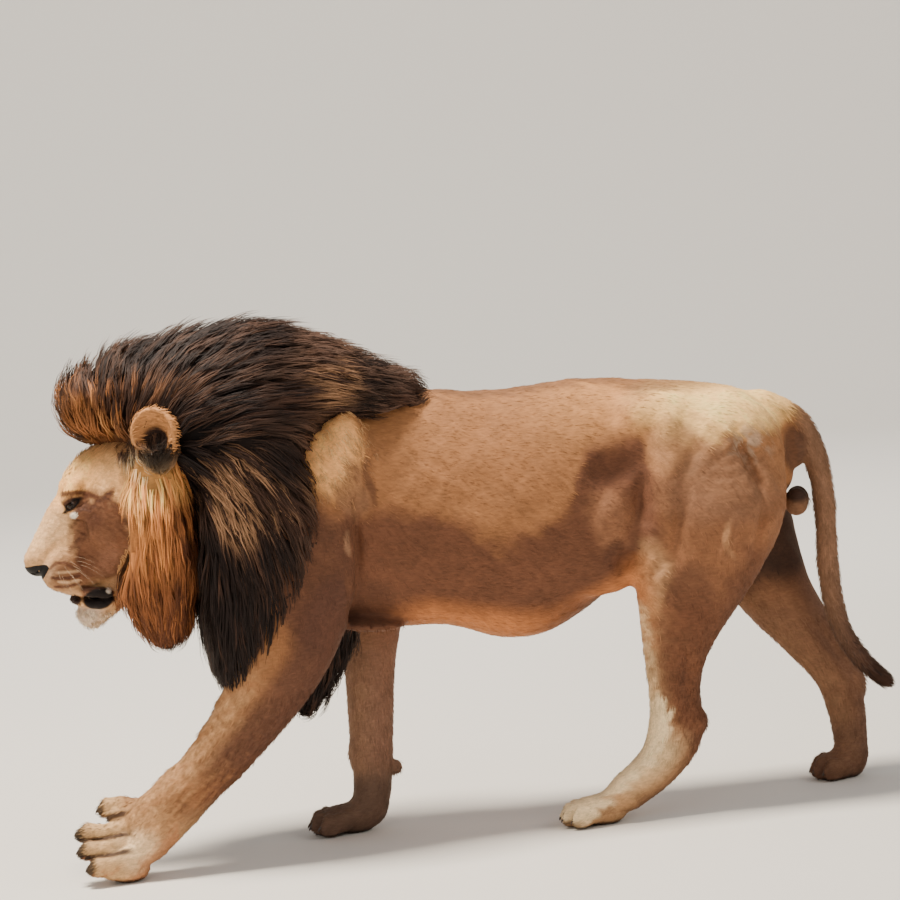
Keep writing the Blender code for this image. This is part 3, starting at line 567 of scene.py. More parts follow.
def tail(form):
    """The tail, the skin below its root, and the scrotum."""
    form.add(tube(TAIL, 0.0, 0.002), 0.02)
    form.add(ball((0.84, 0, 0.855), (0.034, 0.032, 0.056)), 0.015)
    form.add(ball((0.838, -0.01, 0.716), (0.03, 0.026, 0.034)), 0.006)
    form.add(ball((0.847, 0.012, 0.722), (0.028, 0.024, 0.031)), 0.004)


def lion_form():
    """The whole body, cut flat where it stands on the floor. The order of the parts matters."""
    form = Form()
    for part in (neck_and_trunk, shoulders_and_hips, flanks, head):
        part(form)
    for leg, stations in LEGS.items():
        form.add(tube(stations, 0.0, COAT - 0.001), 0.025)
        paw(form, leg)
    for part in (upper_arms, forearms, thighs, shanks, tail):
        part(form)
    form.cut((lambda p: p[..., 2] - 0.0006, np.array((-1.2, -0.4, -0.05)), np.array((1.2, 0.4, 0.0))), 0.002)
    return form


def mesh_object(name, points, faces):
    """A smooth object from points in the design frame."""
    mesh = bpy.data.meshes.new(name)
    points = np.asarray(points) + SHIFT
    faces = np.asarray(faces)
    mesh.vertices.add(len(points))
    mesh.vertices.foreach_set("co", points.astype(np.float32).ravel())
    mesh.loops.add(faces.size)
    mesh.loops.foreach_set("vertex_index", faces.astype(np.int32).ravel())
    mesh.polygons.add(len(faces))
    sides = faces.shape[1]
    mesh.polygons.foreach_set("loop_start", np.arange(0, faces.size, sides, dtype=np.int32))
    mesh.update(calc_edges=True)
    mesh.validate()
    mesh.shade_smooth()
    obj = bpy.data.objects.new(name, mesh)
    bpy.context.scene.collection.objects.link(obj)
    return obj


def refine(points, quads, inside):
    """Splits in four the faces whose middle lies inside, and closes the faces beside them."""
    bm = bmesh.new()
    verts = [bm.verts.new(p) for p in points]
    chosen = inside(points[quads].mean(1))
    split = set()
    for quad, pick in zip(quads, chosen):
        face = bm.faces.new([verts[i] for i in quad])
        if pick:
            split.update(face.edges)
    bmesh.ops.subdivide_edges(bm, edges=list(split), cuts=1, use_grid_fill=True)
    bmesh.ops.triangulate(bm, faces=[f for f in bm.faces if len(f.verts) > 4])
    bm.verts.index_update()
    made = np.array([v.co[:] for v in bm.verts])
    fours = np.array([[v.index for v in f.verts] for f in bm.faces if len(f.verts) == 4])
    threes = np.array([[v.index for v in f.verts] for f in bm.faces if len(f.verts) == 3])
    bm.free()
    return made, fours, threes


def triangles(fours, threes=()):
    """The two halves of each face of four, and the faces of three."""
    made = [fours[:, (0, 1, 2)], fours[:, (0, 2, 3)]]
    return np.concatenate(made + ([threes] if len(threes) else []))


# ---------------------------------------------------------------- colours

def colour(red, green, blue):
    """A colour given as it looks, 0 to 255, in the linear values that shaders take."""
    given = np.array((red, green, blue)) / 255
    return np.where(given <= 0.04045, given / 12.92, ((given + 0.055) / 1.055) ** 2.4)


def fade(value, start, end):
    """Goes smoothly from 0 to 1 as the value goes from start to end."""
    t = np.clip((value - start) / (end - start), 0, 1)
    return t * t * (3 - 2 * t)


def waves(points, size, seed=0):
    """Smooth noise of about -1 to 1, whose patches are about size across."""
    rng = np.random.default_rng(seed)
    made = np.zeros(len(points))
    for _ in range(6):
        way = unit(rng.normal(size=3)) * rng.uniform(0.7, 1.5) * 2 * math.pi / size
        made += np.sin(points @ way + rng.uniform(0, 6.28) + 1.3 * np.sin(points @ way[::-1] * 0.7))
    return made / 3.2


def near(points, at, reach):
    """1 at a place, fading to 0 at reach, which may differ along x, y and z."""
    gap = np.sqrt((((points - np.array(at)) / np.array(reach)) ** 2).sum(1))
    return 1 - fade(gap, 0.25, 1.0)


def on_head(points):
    """Forward, up and sideways in the head's frame."""
    q = points - HEAD_AT
    return q @ -HEAD_TURN[:, 0], q @ HEAD_TURN[:, 2], q[:, 1]


TAWNY, SAND = colour(151, 102, 65), colour(190, 134, 84)
SHADE_BROWN, BELLY = colour(99, 62, 44), colour(194, 122, 72)
PALE, CREAM = colour(222, 174, 124), colour(236, 204, 156)
DARK, BLACK = colour(96, 61, 43), colour(20, 12, 11)
GREY, PINK = colour(176, 150, 126), colour(108, 66, 46)
WHITE = colour(246, 232, 212)

# Where the painted shade of the flank ends below the sunlit back, and the belly's pale edge: x and z
SHADE_LINE = ((-0.3, 0.82), (-0.19, 0.815), (-0.08, 0.8), (0.0, 0.765), (0.055, 0.707), (0.12, 0.715),
              (0.196, 0.738), (0.262, 0.785), (0.288, 0.87), (0.33, 0.92), (0.43, 0.94), (0.47, 0.84),
              (0.55, 0.8), (0.66, 0.76), (0.78, 0.78))
BELLY_LINE = ((-0.3, 0.53), (-0.1, 0.53), (0.02, 0.5), (0.12, 0.48), (0.2, 0.48), (0.3, 0.52), (0.42, 0.6))

# Painted light and shade of the trunk and legs: the sunlit shoulder patch and rump, painted highlights on the
# folds of arm, paunch, knee and thigh, and painted shade behind the shoulder blade, on upper arm and elbow,
# in the flank's hollows and on hip, haunch and thigh. Place (x, z), reach (x, z), colour and share
PAINTED_LIGHT_AND_SHADE = [
    (-0.3, 0.965, 0.085, 0.125, (255, 186, 118), 0.9), (-0.262, 0.868, 0.042, 0.085, (132, 94, 68), 0.75),
    (-0.219, 0.885, 0.011, 0.08, (92, 60, 42), 0.7), (-0.38, 0.68, 0.12, 0.2, (88, 56, 41), 0.92),
    (-0.33, 0.56, 0.09, 0.1, (86, 54, 40), 0.88), (-0.29, 0.742, 0.012, 0.036, (150, 112, 84), 0.6),
    (0.345, 0.735, 0.072, 0.092, (136, 92, 64), 0.85), (0.37, 0.63, 0.085, 0.06, (78, 48, 34), 0.6),
    (0.37, 0.862, 0.085, 0.05, (88, 54, 37), 0.6), (0.66, 0.99, 0.24, 0.1, (255, 206, 132), 0.95),
    (0.54, 0.9, 0.1, 0.08, (176, 130, 92), 0.55), (0.62, 0.8, 0.17, 0.11, (130, 92, 68), 0.75),
    (0.435, 0.59, 0.045, 0.11, (178, 134, 94), 0.7), (0.622, 0.672, 0.014, 0.05, (164, 120, 84), 0.7),
    (0.7, 0.56, 0.09, 0.1, (96, 60, 42), 0.6),
]


def mix(base, other, amount):
    """Colours moved from the base to the other by an amount for each point."""
    return base + (other - base) * amount[:, None]


def spread(p, x, z, reach_x, reach_z):
    """1 over most of an oval seen from the side, fading out at its edge."""
    return 1 - fade(np.hypot((p[:, 0] - x) / reach_x, (p[:, 2] - z) / reach_z), 0.55, 1.1)


def leg_colour(made, p, n):
    """Painted light on the fronts of the legs and painted shade on their backs, darker shanks, and the front
    of the hind foot painted pale with sunlight.
    """
    low = 1 - fade(p[:, 2], 0.34, 0.56)
    fore = p[:, 0] < 0.05
    front = fade(-n[:, 0] + n[:, 2] * 0.3, -0.25, 0.55) * low
    rear = fade(n[:, 0], -0.2, 0.6) * (1 - fade(p[:, 2], 0.5, 0.66))
    patchy = 0.75 + 0.35 * waves(p, 0.035, 6)
    # painted shade on the backs of the legs
    made = mix(made, SHADE_BROWN * 0.8, rear * 0.92)
    # painted light on the fronts of the legs
    made = mix(made, PALE * 0.92, np.clip(front * patchy, 0, 1) * np.where(fore, 0.52, 0.55))
    shank = ~fore & (p[:, 2] > 0.2)
    made = mix(made, colour(92, 60, 44), shank * (p[:, 1] < 0) * spread(p, 0.52, 0.55, 0.07, 0.085) * 0.55)
    made = mix(made, colour(100, 62, 42), shank * spread(p, 0.525, 0.37, 0.105, 0.21) * 0.88)
    # painted light on the front and top of the hind foot
    meta = near(p, (0.42, -0.1, 0.13), (0.17, 0.2, 0.12)) * fade(-n[:, 0] + n[:, 2], -0.7, 0.3)
    made = mix(made, CREAM, meta * 0.9)
    return made


def paw_colour(made, p):
    """Pale paws, painted shade in the gaps between the spread toes, and dark tips on all toes, partly the
    claws' and pads' own dark and partly painted shade.
    """
    paws = 1 - fade(p[:, 2], 0.07, 0.2)
    made = mix(made, PALE * 0.84, paws * 0.6)
    made = mix(made, colour(208, 168, 120), fade(-p[:, 0], 0.84, 0.89) * (p[:, 2] < 0.22) * 0.85)
    made = mix(made, colour(238, 204, 160), near(p, (-0.835, -0.18, 0.075), (0.075, 0.09, 0.07)) * 0.85)
    lifted = PAWS["fore_left"]
    along = (p - lifted.row) @ spin("X", lifted.roll)[:, 1] / lifted.step
    gap = np.abs(along[:, None] - (-1.0, 0.02, 1.18)).min(1)
    # painted shade in the gaps between the spread toes
    between = (1 - fade(gap, 0.07, 0.27)) * fade(-p[:, 0], 0.835, 0.865) * (p[:, 2] < 0.22) * (p[:, 1] < 0)
    made = mix(made, colour(58, 38, 30), between * 0.92)
    for leg in PAWS:
        for at, axes in toe_frames(leg):
            q = (p - at) @ axes
            # the toe tips darkened, partly the claws' and pads' own dark and partly painted shade
            end = fade(q[:, 0], 0.014, 0.032) * (np.abs(q[:, 1]) < 0.024) * (np.abs(q[:, 2]) < 0.03)
            share = 0.92 if leg == "fore_left" else 0.45
            made = mix(made, colour(34, 25, 21), end * (q[:, 0] < 0.06) * share)
    return made


def sole_colour(made, p, n):
    """Painted shade on the backs of hocks and pasterns and on the greyer far legs, the far paws darker still,
    and black pads.
    """
    fore = p[:, 0] < 0.05
    hock = ~fore & (p[:, 2] < 0.36) & (p[:, 2] > 0.03)
    # painted shade on the backs of hocks and pasterns
    made = mix(made, DARK, hock * fade(n[:, 0] - n[:, 2] * 0.3, 0.15, 0.75) * 0.8)
    sole = (p[:, 0] < -0.74) * fade(n[:, 0] - n[:, 2], 0.1, 0.9) * (1 - fade(p[:, 2], 0.12, 0.22))
    made = mix(made, colour(166, 112, 76), sole * 0.8)
    # painted shade on the far legs
    far = (p[:, 1] > 0.03) * (1 - fade(p[:, 2], 0.4, 0.62))
    made = mix(made, np.where(fore[:, None], colour(142, 106, 86), colour(112, 80, 62)), far * 0.75)
    # the far paws painted darker, partly their own dark, wet-looking fur and partly painted shade
    wrist = (p[:, 1] > 0.03) * (1 - fade(p[:, 2], 0.11, 0.19)) * np.where(fore, 0.8, 0.6)
    made = mix(made, np.where(fore[:, None], colour(84, 66, 56), colour(92, 62, 48)), wrist)
    return mix(made, BLACK, (1 - fade(p[:, 2], 0.004, 0.016)) * fade(-n[:, 2], 0.3, 0.8) * 0.8)


def on_mouth(a, b):
    """Along the mouth, forward, and across it, upward, for places in the head's frame."""
    c, s = math.cos(MOUTH_SLOPE), math.sin(MOUTH_SLOPE)
    a, b = a - MOUTH_AT[0], b - MOUTH_AT[1]
    return a * c + b * s, b * c - a * s


def bare_lips(a, b):
    """1 on the black lips."""
    u, v = on_mouth(a, b)
    gape = (1 - fade(np.abs(v), 0.003, 0.007)) * fade(u, -0.062, -0.05) * (1 - fade(u, 0.004, 0.014))
    patch = 1 - fade(np.hypot((u + 0.026) / 0.039, (v - 0.001 + 0.1 * (u + 0.026)) / 0.0285), 0.84, 1.03)
    return np.maximum(gape, patch)


def line_gap(a, b, points):
    """Distance to the line through points, all seen from the side."""
    p, gap = np.stack((a, b), 1), np.full(len(a), 1.0)
    for one, two in zip(points, points[1:]):
        one, run = np.array(one), np.array(two) - one
        t = np.clip((p - one) @ run / (run @ run), 0, 1)
        gap = np.minimum(gap, np.linalg.norm(p - one - t[:, None] * run, axis=1))
    return gap


# The face's marks: the sunlit forehead and bridge painted bright, pale temples, the whisker pads painted
# darker, partly as shade below the lit bridge, and a paler tip of the muzzle
FACE_MARKS = [  # place (forward, up), reach, colour and share
    (0.055, 0.105, 0.13, 0.085, (255, 190, 118), 0.97), (-0.01, 0.145, 0.07, 0.04, (250, 190, 128), 0.7),
    (0.19, 0.04, 0.12, 0.05, (238, 192, 142), 0.85), (-0.03, 0.04, 0.07, 0.09, (234, 178, 118), 0.85),
    (0.212, -0.062, 0.085, 0.062, (118, 78, 54), 0.9), (0.25, -0.03, 0.035, 0.03, (214, 172, 134), 0.6),
]
# Lines of the face (forward, up): the dark line of upper lid and brow, partly the lid's own dark and partly
# painted shade under the brow ridge, then the dark and pale rows of whisker roots. Where they start to fade
# and end, colour and share
FACE_LINES = [
    ([(0.114, 0.093), (0.1, 0.086), (0.082, 0.076), (0.066, 0.064), (0.052, 0.048), (0.042, 0.034)],
     0.002, 0.011, (84, 48, 32), 0.92),
    ([(0.236, -0.03), (0.216, -0.028), (0.201, -0.04), (0.193, -0.06)], 0.002, 0.0055, (92, 54, 38), 0.75),
    ([(0.246, -0.05), (0.233, -0.063), (0.212, -0.075), (0.194, -0.087)], 0.002, 0.0055, (84, 48, 34), 0.85),
    ([(0.254, -0.071), (0.236, -0.086), (0.215, -0.097), (0.203, -0.101)], 0.002, 0.0055, (84, 48, 34), 0.85),
    ([(0.23, -0.047), (0.21, -0.06), (0.19, -0.075)], 0.001, 0.005, (214, 172, 130), 0.8),
    ([(0.24, -0.067), (0.222, -0.083), (0.2, -0.094)], 0.001, 0.005, (214, 172, 130), 0.8),
]


def cheek_colour(made, p, n):
    """The face's pale and tawny marks, with painted sunlight on forehead and bridge and painted shade on the
    whisker pads, the shaded side of the face painted as a dark patch on the cheek, and painted shade under
    the jaw.
    """
    a, b, s = on_head(p)
    flat = np.stack((a, b, s * 0), 1)
    made = mix(made, colour(220, 170, 120), fade(a, -0.12, 0.0) * fade(-p[:, 0], 0.7, 0.76))
    side = fade(np.abs(s), 0.035, 0.06)
    # painted sunlight on forehead and bridge, painted shade on the whisker pads
    for at_a, at_b, reach_a, reach_b, tone, share in FACE_MARKS:
        made = mix(made, colour(*tone), near(flat, (at_a, at_b, 0), (reach_a, reach_b, 1)) * share)
    flat = np.stack((p[:, 0], p[:, 2], s * 0), 1)
    edge = 0.014 * waves(p, 0.05, 41)
    gap_x, gap_z = np.abs(p[:, 0] + 0.856 + edge * 0.6) / 0.073, np.abs(p[:, 2] - 0.78 + edge) / 0.144
    cheek = 1 - fade((gap_x**3 + gap_z**3) ** (1 / 3), 0.8, 1.1)
    # the shaded side of the face, painted as a dark patch on the cheek
    made = mix(made, PINK, cheek * side * 0.92)
    # painted darker still where the cheek faces up, against the light from above
    made = mix(made, PINK * 0.42, cheek * side * fade(n[:, 2], 0.02, 0.42) * 0.9)
    # painted shade below and behind the eye, and a lighter part lower on the cheek
    made = mix(made, colour(84, 50, 36), near(flat, (-0.866, 0.852, 0), (0.034, 0.038, 1)) * side * 0.55)
    made = mix(made, colour(150, 104, 80), near(flat, (-0.835, 0.745, 0), (0.045, 0.06, 1)) * side * 0.45)
    # painted shade under the jaw
    under = 1 - fade(np.hypot((a - 0.02) / 0.16, (b + 0.2) / 0.07), 0.6, 1.1)
    return mix(made, colour(150, 108, 82), under * 0.6)


def muzzle_colour(made, p):
    """The pale chin, rows of whisker roots, the black lips and a painted highlight on them."""
    a, b, s = on_head(p)
    u, v = on_mouth(a, b)
    made = mix(made, colour(206, 186, 168), fade(u, -0.06, -0.01) * fade(-v, 0.014, 0.03) * 0.85)
    # the lines of the face; the first is partly painted shade under the brow
    for line, start, end, tone, share in FACE_LINES:
        drawn = (1 - fade(line_gap(a, b, line), start, end)) * fade(np.abs(s), 0.02, 0.034)
        made = mix(made, colour(*tone), drawn * share)
    made = mix(made, BLACK, bare_lips(a, b) * fade(np.abs(s), 0.004, 0.01))
    front = 1 - fade(np.hypot((u - 0.03) / 0.0165, (v + 0.003) / 0.0165), 0.75, 1.1)
    made = mix(made, colour(44, 28, 24), front)
    # a painted highlight at the top of the lips, towards their back
    return mix(made, WHITE, (1 - fade(np.hypot((u + 0.05) / 0.008, (v - 0.021) / 0.006), 0.5, 1.1)) * 0.85)


def eye_colour(made, p, side):
    """The dark lids, the white spot below, the tear mark and the shade of the brow."""
    a, b, s = on_head(p)
    at, axes = eye_frame(side)
    q = (p - at) @ axes
    out = q[:, 2] > -0.03
    drop = -side * q[:, 1]
    # the dark rim reaches further above the eye than below, partly as painted shade of the brow
    rim = np.hypot(q[:, 0] / 0.024, np.where(drop > 0, drop / 0.0105, drop / 0.0145))
    made = mix(made, BLACK, (1 - fade(rim, 0.92, 1.25)) * out)
    spot = np.hypot((a - 0.112) / 0.0095, (b - 0.0335) / 0.008)
    made = mix(made, WHITE, (1 - fade(spot, 0.6, 1.15)) * (s * side > 0.025))
    tear = np.hypot((q[:, 0] - 0.026) / 0.013, (drop - 0.004) / 0.005)
    made = mix(made, BLACK, (1 - fade(tear, 0.5, 1.2)) * out * 0.95)
    shade = np.hypot((q[:, 0] + 0.002) / 0.026, (drop + 0.015) / 0.009)
    return mix(made, DARK, (1 - fade(shade, 0.4, 1.1)) * out * 0.7)


def ear_colour(made, p, n, side):
    """A black back, a golden rim and a dark cup."""
    at, axes = ear_axes(side)
    q = (p - at) @ axes
    ear = 1 - fade(np.linalg.norm(q / (0.075, 0.085, 0.045), axis=1), 0.9, 1.1)
    facing = n @ axes[:, 2]
    inner = 1 - fade(np.hypot(q[:, 0] / 0.042, (q[:, 1] + 0.026) / 0.05), 0.7, 1.0)
    made = mix(made, BLACK, ear * fade(-facing, 0.15, 0.5))
    made = mix(made, colour(198, 138, 86), ear * fade(facing, -0.2, 0.3) * (1 - inner))
    return mix(made, colour(44, 26, 18), ear * inner * fade(facing, 0.0, 0.3))


def head_colour(made, p, n):
    """All of the head's colours, in order."""
    made = muzzle_colour(cheek_colour(made, p, n), p)
    for side in (-1, 1):
        made = ear_colour(eye_colour(made, p, side), p, n, side)
    return made


def trunk_colour(made, p, n):
    """Painted shade on the flank below a back painted paler with sunlight, painted light and shade at
    shoulder and haunch, and the pale belly, warmed with painted light from the ground.
    """
    # painted sunlight: the back is painted paler, more so towards the rump
    made = mix(made, SAND, fade(p[:, 2], 0.86, 1.02) * (0.1 + 0.85 * fade(p[:, 0], 0.1, 0.4)))
    blur = p * (1, 0, 1) + 0.016 * np.stack((waves(p, 0.11, 4), np.zeros(len(p)), waves(p, 0.09, 8)), 1)
    # painted shade: the flank below the shade line is darkened, browner on the haunch
    shade = np.interp(blur[:, 0], *zip(*SHADE_LINE))
    dark = (1 - fade(blur[:, 2] - shade, -0.034, 0.034)) * fade(p[:, 0], -0.34, -0.28)
    # the painted light and shade are weaker on the far side
    weaker = 1 - 0.4 * fade(p[:, 1], -0.02, 0.06) * (p[:, 2] > 0.45)
    dark = dark * fade(-p[:, 0], -0.88, -0.74) * weaker
    haunch = fade(p[:, 0], 0.44, 0.5)
    made = mix(made, SHADE_BROWN, dark * (1 - haunch) * 0.92)
    made = mix(made, colour(132, 88, 60), dark * haunch * 0.85)
    # painted light and shade of shoulder, flank, haunch and thigh, weaker on the far side
    for x, z, reach_x, reach_z, tone, share in PAINTED_LIGHT_AND_SHADE:
        made = mix(made, colour(*tone), spread(blur, x, z, reach_x, reach_z) * share * weaker)
    # the pale belly, painted warmer with light thrown up from the ground
    line = np.interp(p[:, 0], *zip(*BELLY_LINE))
    low = (1 - fade(p[:, 2] - line, 0.01, 0.085)) * (1 - fade(p[:, 0], 0.38, 0.46))
    made = mix(made, BELLY, low * fade(p[:, 0], -0.22, -0.08) * fade(p[:, 2], 0.36, 0.42) * 0.9)
    # painted shade in the fold of skin behind the elbow
    elbow = spread(p, -0.238, 0.597, 0.07, 0.065) * fade(p[:, 2], 0.535, 0.57)
    made = mix(made, colour(78, 49, 35), elbow * 0.5)
    ridge = fade(n[:, 2], 0.8, 0.95) * fade(p[:, 2], 1.0, 1.04) * (p[:, 0] > -0.4)
    return mix(made, colour(118, 80, 54), ridge * 0.8)


# Lines down the near legs: painted shade along the arm's rear edge, painted light along the front edges of
# thigh and foot
ARM_LINE = ((-0.32, 0.62), (-0.4, 0.465), (-0.53, 0.325), (-0.66, 0.195))
THIGH_LINE = ((0.394, 0.51), (0.397, 0.475), (0.402, 0.435), (0.408, 0.312), (0.39, 0.24))
FOOT_LINE = ((0.405, 0.255), (0.385, 0.205), (0.325, 0.14), (0.265, 0.1), (0.21, 0.065))


def limb_edge_colour(made, p, n):
    """Painted shade along the near arm's rear edge, painted light along the front edges of the near thigh and
    foot, and the shaded inside of the far thigh, painted dark.
    """
    near_side = p[:, 1] < 0
    # painted shade along the arm's rear edge
    rear = 1 - fade(line_gap(p[:, 0], p[:, 2], ARM_LINE), 0.03, 0.085)
    arm = near_side * fade(p[:, 2], 0.18, 0.3) * (p[:, 0] < -0.3)
    made = mix(made, colour(84, 54, 42), arm * rear * 0.8)
    # painted light along the thigh's front edge
    front = 1 - fade(line_gap(p[:, 0], p[:, 2], THIGH_LINE), 0.008, 0.036)
    rough = np.clip(0.7 + 0.55 * waves(p * (0.7, 1, 1.8), 0.04, 44), 0, 1)
    made = mix(made, colour(236, 200, 152), near_side * front * rough * 0.9)
    # painted light along the foot's front edge
    ragged = line_gap(p[:, 0], p[:, 2], FOOT_LINE) + 0.012 * waves(p, 0.035, 45)
    foot = near_side * (1 - fade(ragged, 0.04, 0.064)) * (p[:, 0] < 0.47)
    made = mix(made, colour(240, 212, 168), foot * 0.92)
    # painted shade on the inside of the far thigh
    far = (p[:, 1] > 0.04) & (p[:, 0] > 0.4)
    inside = np.maximum(spread(p, 0.69, 0.635, 0.19, 0.155), spread(p, 0.81, 0.62, 0.13, 0.13))
    made = mix(made, colour(48, 30, 23), far * inside * fade(-n[:, 1], -0.1, 0.5) * 0.92)
    scuff = near(p, (0.69, 0, 0.885), (0.1, 0.4, 0.085)) * fade(waves(p, 0.03, 3), -0.25, 0.5)
    return mix(made, GREY, scuff * 0.85)


def tail_colour(made, p):
    """The tail, darker to its tip, and the dark skin below its root."""
    tail = fade(p[:, 0], 0.8, 0.88) * (p[:, 2] < 0.96) * (np.abs(p[:, 1]) < 0.06) * (p[:, 2] > 0.22)
    tail = tail * (p[:, 0] > np.interp(p[:, 2], (0.2, 0.5, 0.9), (0.93, 0.86, 0.84)))
    made = mix(made, colour(134, 100, 78), tail * 0.85)
    made = mix(made, colour(78, 54, 43), tail * (1 - fade(p[:, 2], 0.32, 0.56)) * 0.85)
    made = mix(made, DARK * 0.35, near(p, (1.01, 0, 0.26), (0.1, 0.08, 0.12)))
    middle = (np.abs(p[:, 1]) < 0.055) * (p[:, 0] > 0.79)
    below = middle * spread(p, 0.838, 0.85, 0.04, 0.075) * (p[:, 0] < 0.872)
    made = mix(made, colour(82, 54, 40), below * 0.8)
    made = mix(made, colour(112, 80, 60), middle * spread(p, 0.85, 0.7, 0.05, 0.05) * 0.8)
    return mix(made, colour(44, 29, 23), middle * spread(p, 0.838, 0.742, 0.045, 0.03) * 0.9)


def coat_colour(p, n):
    """The coat's colour, with light and shade painted into it, at points of the skin with normals n."""
    made = trunk_colour(np.tile(TAWNY, (len(p), 1)), p, n)
    legs = p[:, 2] < 0.66
    q, facing = p[legs], n[legs]
    made[legs] = sole_colour(paw_colour(leg_colour(made[legs], q, facing), q), q, facing)
    made = tail_colour(limb_edge_colour(made, p, n), p)
    at_head = (p[:, 0] < -0.6) & (p[:, 2] > 0.5)
    made[at_head] = head_colour(made[at_head], p[at_head], n[at_head])
    tone = 1 + 0.07 * waves(p, 0.16, 1) + 0.08 * waves(p, 0.045, 2) + 0.06 * waves(p, 0.014, 12)
    return np.clip(made * tone[:, None], 0.002, 0.95)


# ---------------------------------------------------------------- locks

BAKE_PATCH = 0.003  # size of the patch of the texture that a lock is baked on


def locks(name, paths, across, wide, thick, tint, bake, taper, roundness):
    """One mesh of closed, three-sided, tapering locks.

    paths is (n, rings + 1, 3), whose last points are the tips; across and thick directions are
    unit vectors per ring; wide and thick are per lock; tint is (n, rings + 1, 3). A lock takes its
    shading mostly from the coat around it: roundness turns its sides away from that.
    """
    n, rings = paths.shape[0], paths.shape[1] - 1
    side, lift = across
    half = (wide[:, None] * taper[None, :] / 2)[..., None]
    rise = (thick[:, None] * taper[None, :])[..., None]
    body = paths[:, :rings]
    ring = np.stack((body - side * half - lift * rise * 0.4, body + side * half - lift * rise * 0.4,
                     body + lift * rise * 0.6), 2)
    verts = np.concatenate((ring.reshape(n, rings * 3, 3), paths[:, rings:]), 1)
    faces = [(2, 1, 0)]
    for r in range(rings - 1):
        for k in range(3):
            a, b = r * 3 + k, r * 3 + (k + 1) % 3
            faces += [(a, b, b + 3), (a, b + 3, a + 3)]
    tip, last = rings * 3, (rings - 1) * 3
    faces += [(last + k, last + (k + 1) % 3, tip) for k in range(3)]
    faces = np.array(faces)[:, ::-1]
    every = (faces[None] + np.arange(n)[:, None, None] * (rings * 3 + 1)).reshape(-1, 3)
    obj = mesh_object(name, verts.reshape(-1, 3), every)
    mesh = obj.data
    shades = np.concatenate((np.repeat(tint[:, :rings], 3, 1), tint[:, rings:]), 1).reshape(-1, 3)
    paint(mesh, shades)
    u = np.tile((0.0, 1.0, 0.5), rings).tolist() + [0.5]
    v = np.repeat(np.linspace(0, 1, rings, endpoint=False), 3).tolist() + [1.0]
    local = np.stack((u, v), 1)
    corners = every.ravel()
    seed = RNG.uniform(0, 40, (n, 1, 2))
    strand = (local[None] + seed).reshape(-1, 2)
    laid = (bake[:, None] + (local[None] - 0.5) * BAKE_PATCH).reshape(-1, 2)
    left, right = unit(lift - side * roundness), unit(lift + side * roundness)
    bent = np.concatenate((np.stack((left, right, lift), 2).reshape(n, rings * 3, 3), lift[:, -1:]), 1)
    mesh.normals_split_custom_set_from_vertices(bent.reshape(-1, 3))
    for title, flat in (("OFBake", laid), ("Strand", strand)):
        layer = mesh.uv_layers.new(name=title)
        layer.data.foreach_set("uv", flat[corners].astype(np.float32).ravel())
    return obj


def paint(mesh, shades):
    """Gives each point of a mesh its colour."""
    layer = mesh.color_attributes.new("Coat", "FLOAT_COLOR", "POINT")
    full = np.ones((len(mesh.vertices), 4), np.float32)
    full[:, :3] = shades
    layer.data.foreach_set("color", full.ravel())


def scatter(points, faces, count, weight=None):
    """Random places on a mesh: points, face numbers and their shares of the corners."""
    a, b, c = (points[faces[:, i]] for i in range(3))
    area = np.linalg.norm(np.cross(b - a, c - a), axis=1)
    if weight is not None:
        area = area * weight(points[faces].mean(1))
    chance = np.cumsum(area) / area.sum()
    spots = (np.arange(count) + RNG.uniform(0, 1, count)) / count
    picked = np.minimum(np.searchsorted(chance, spots), len(faces) - 1)
    r, t = np.sqrt(RNG.uniform(0, 1, count)), RNG.uniform(0, 1, count)
    share = np.stack((1 - r, r * (1 - t), r * t), 1)
    return (points[faces[picked]] * share[..., None]).sum(1), picked


def unwrap(p, n):
    """Where a point of the skin lies on its unwrap: six flat charts for each part of the body."""
    x, y, z = p.T
    fore, hind = (z < 0.55) & (x < 0.1), (z < 0.62) & (x > 0.33)
    parts = [x < -0.62, fore & (y < 0), fore, hind & (y < 0) & (x < 0.75), hind & (y > 0.05), x > 0.84]
    part = np.select(parts, [1, 2, 3, 4, 5, 6], 0)
    axis = np.abs(n).argmax(1)
    sign = n[np.arange(len(n)), axis] > 0
    facing = [axis[:, None] == k for k in range(3)]
    flat = np.select(facing, [p[:, (1, 2)], p[:, (0, 2)], p[:, (0, 1)]])
    low = np.select(facing, [(-0.3, 0.0), (-1.1, 0.0), (-1.1, -0.3)])
    span = np.select(facing, [(0.6, 1.35), (2.25, 1.35), (2.25, 0.6)])
    cell = part * 6 + axis * 2 + sign
    column, row = cell % 7, cell // 7
    share = np.clip((flat - low) / span, 0, 1) * 0.96 + 0.02
    return np.stack(((column + share[:, 0]) / 7, (row + share[:, 1]) / 6), 1)


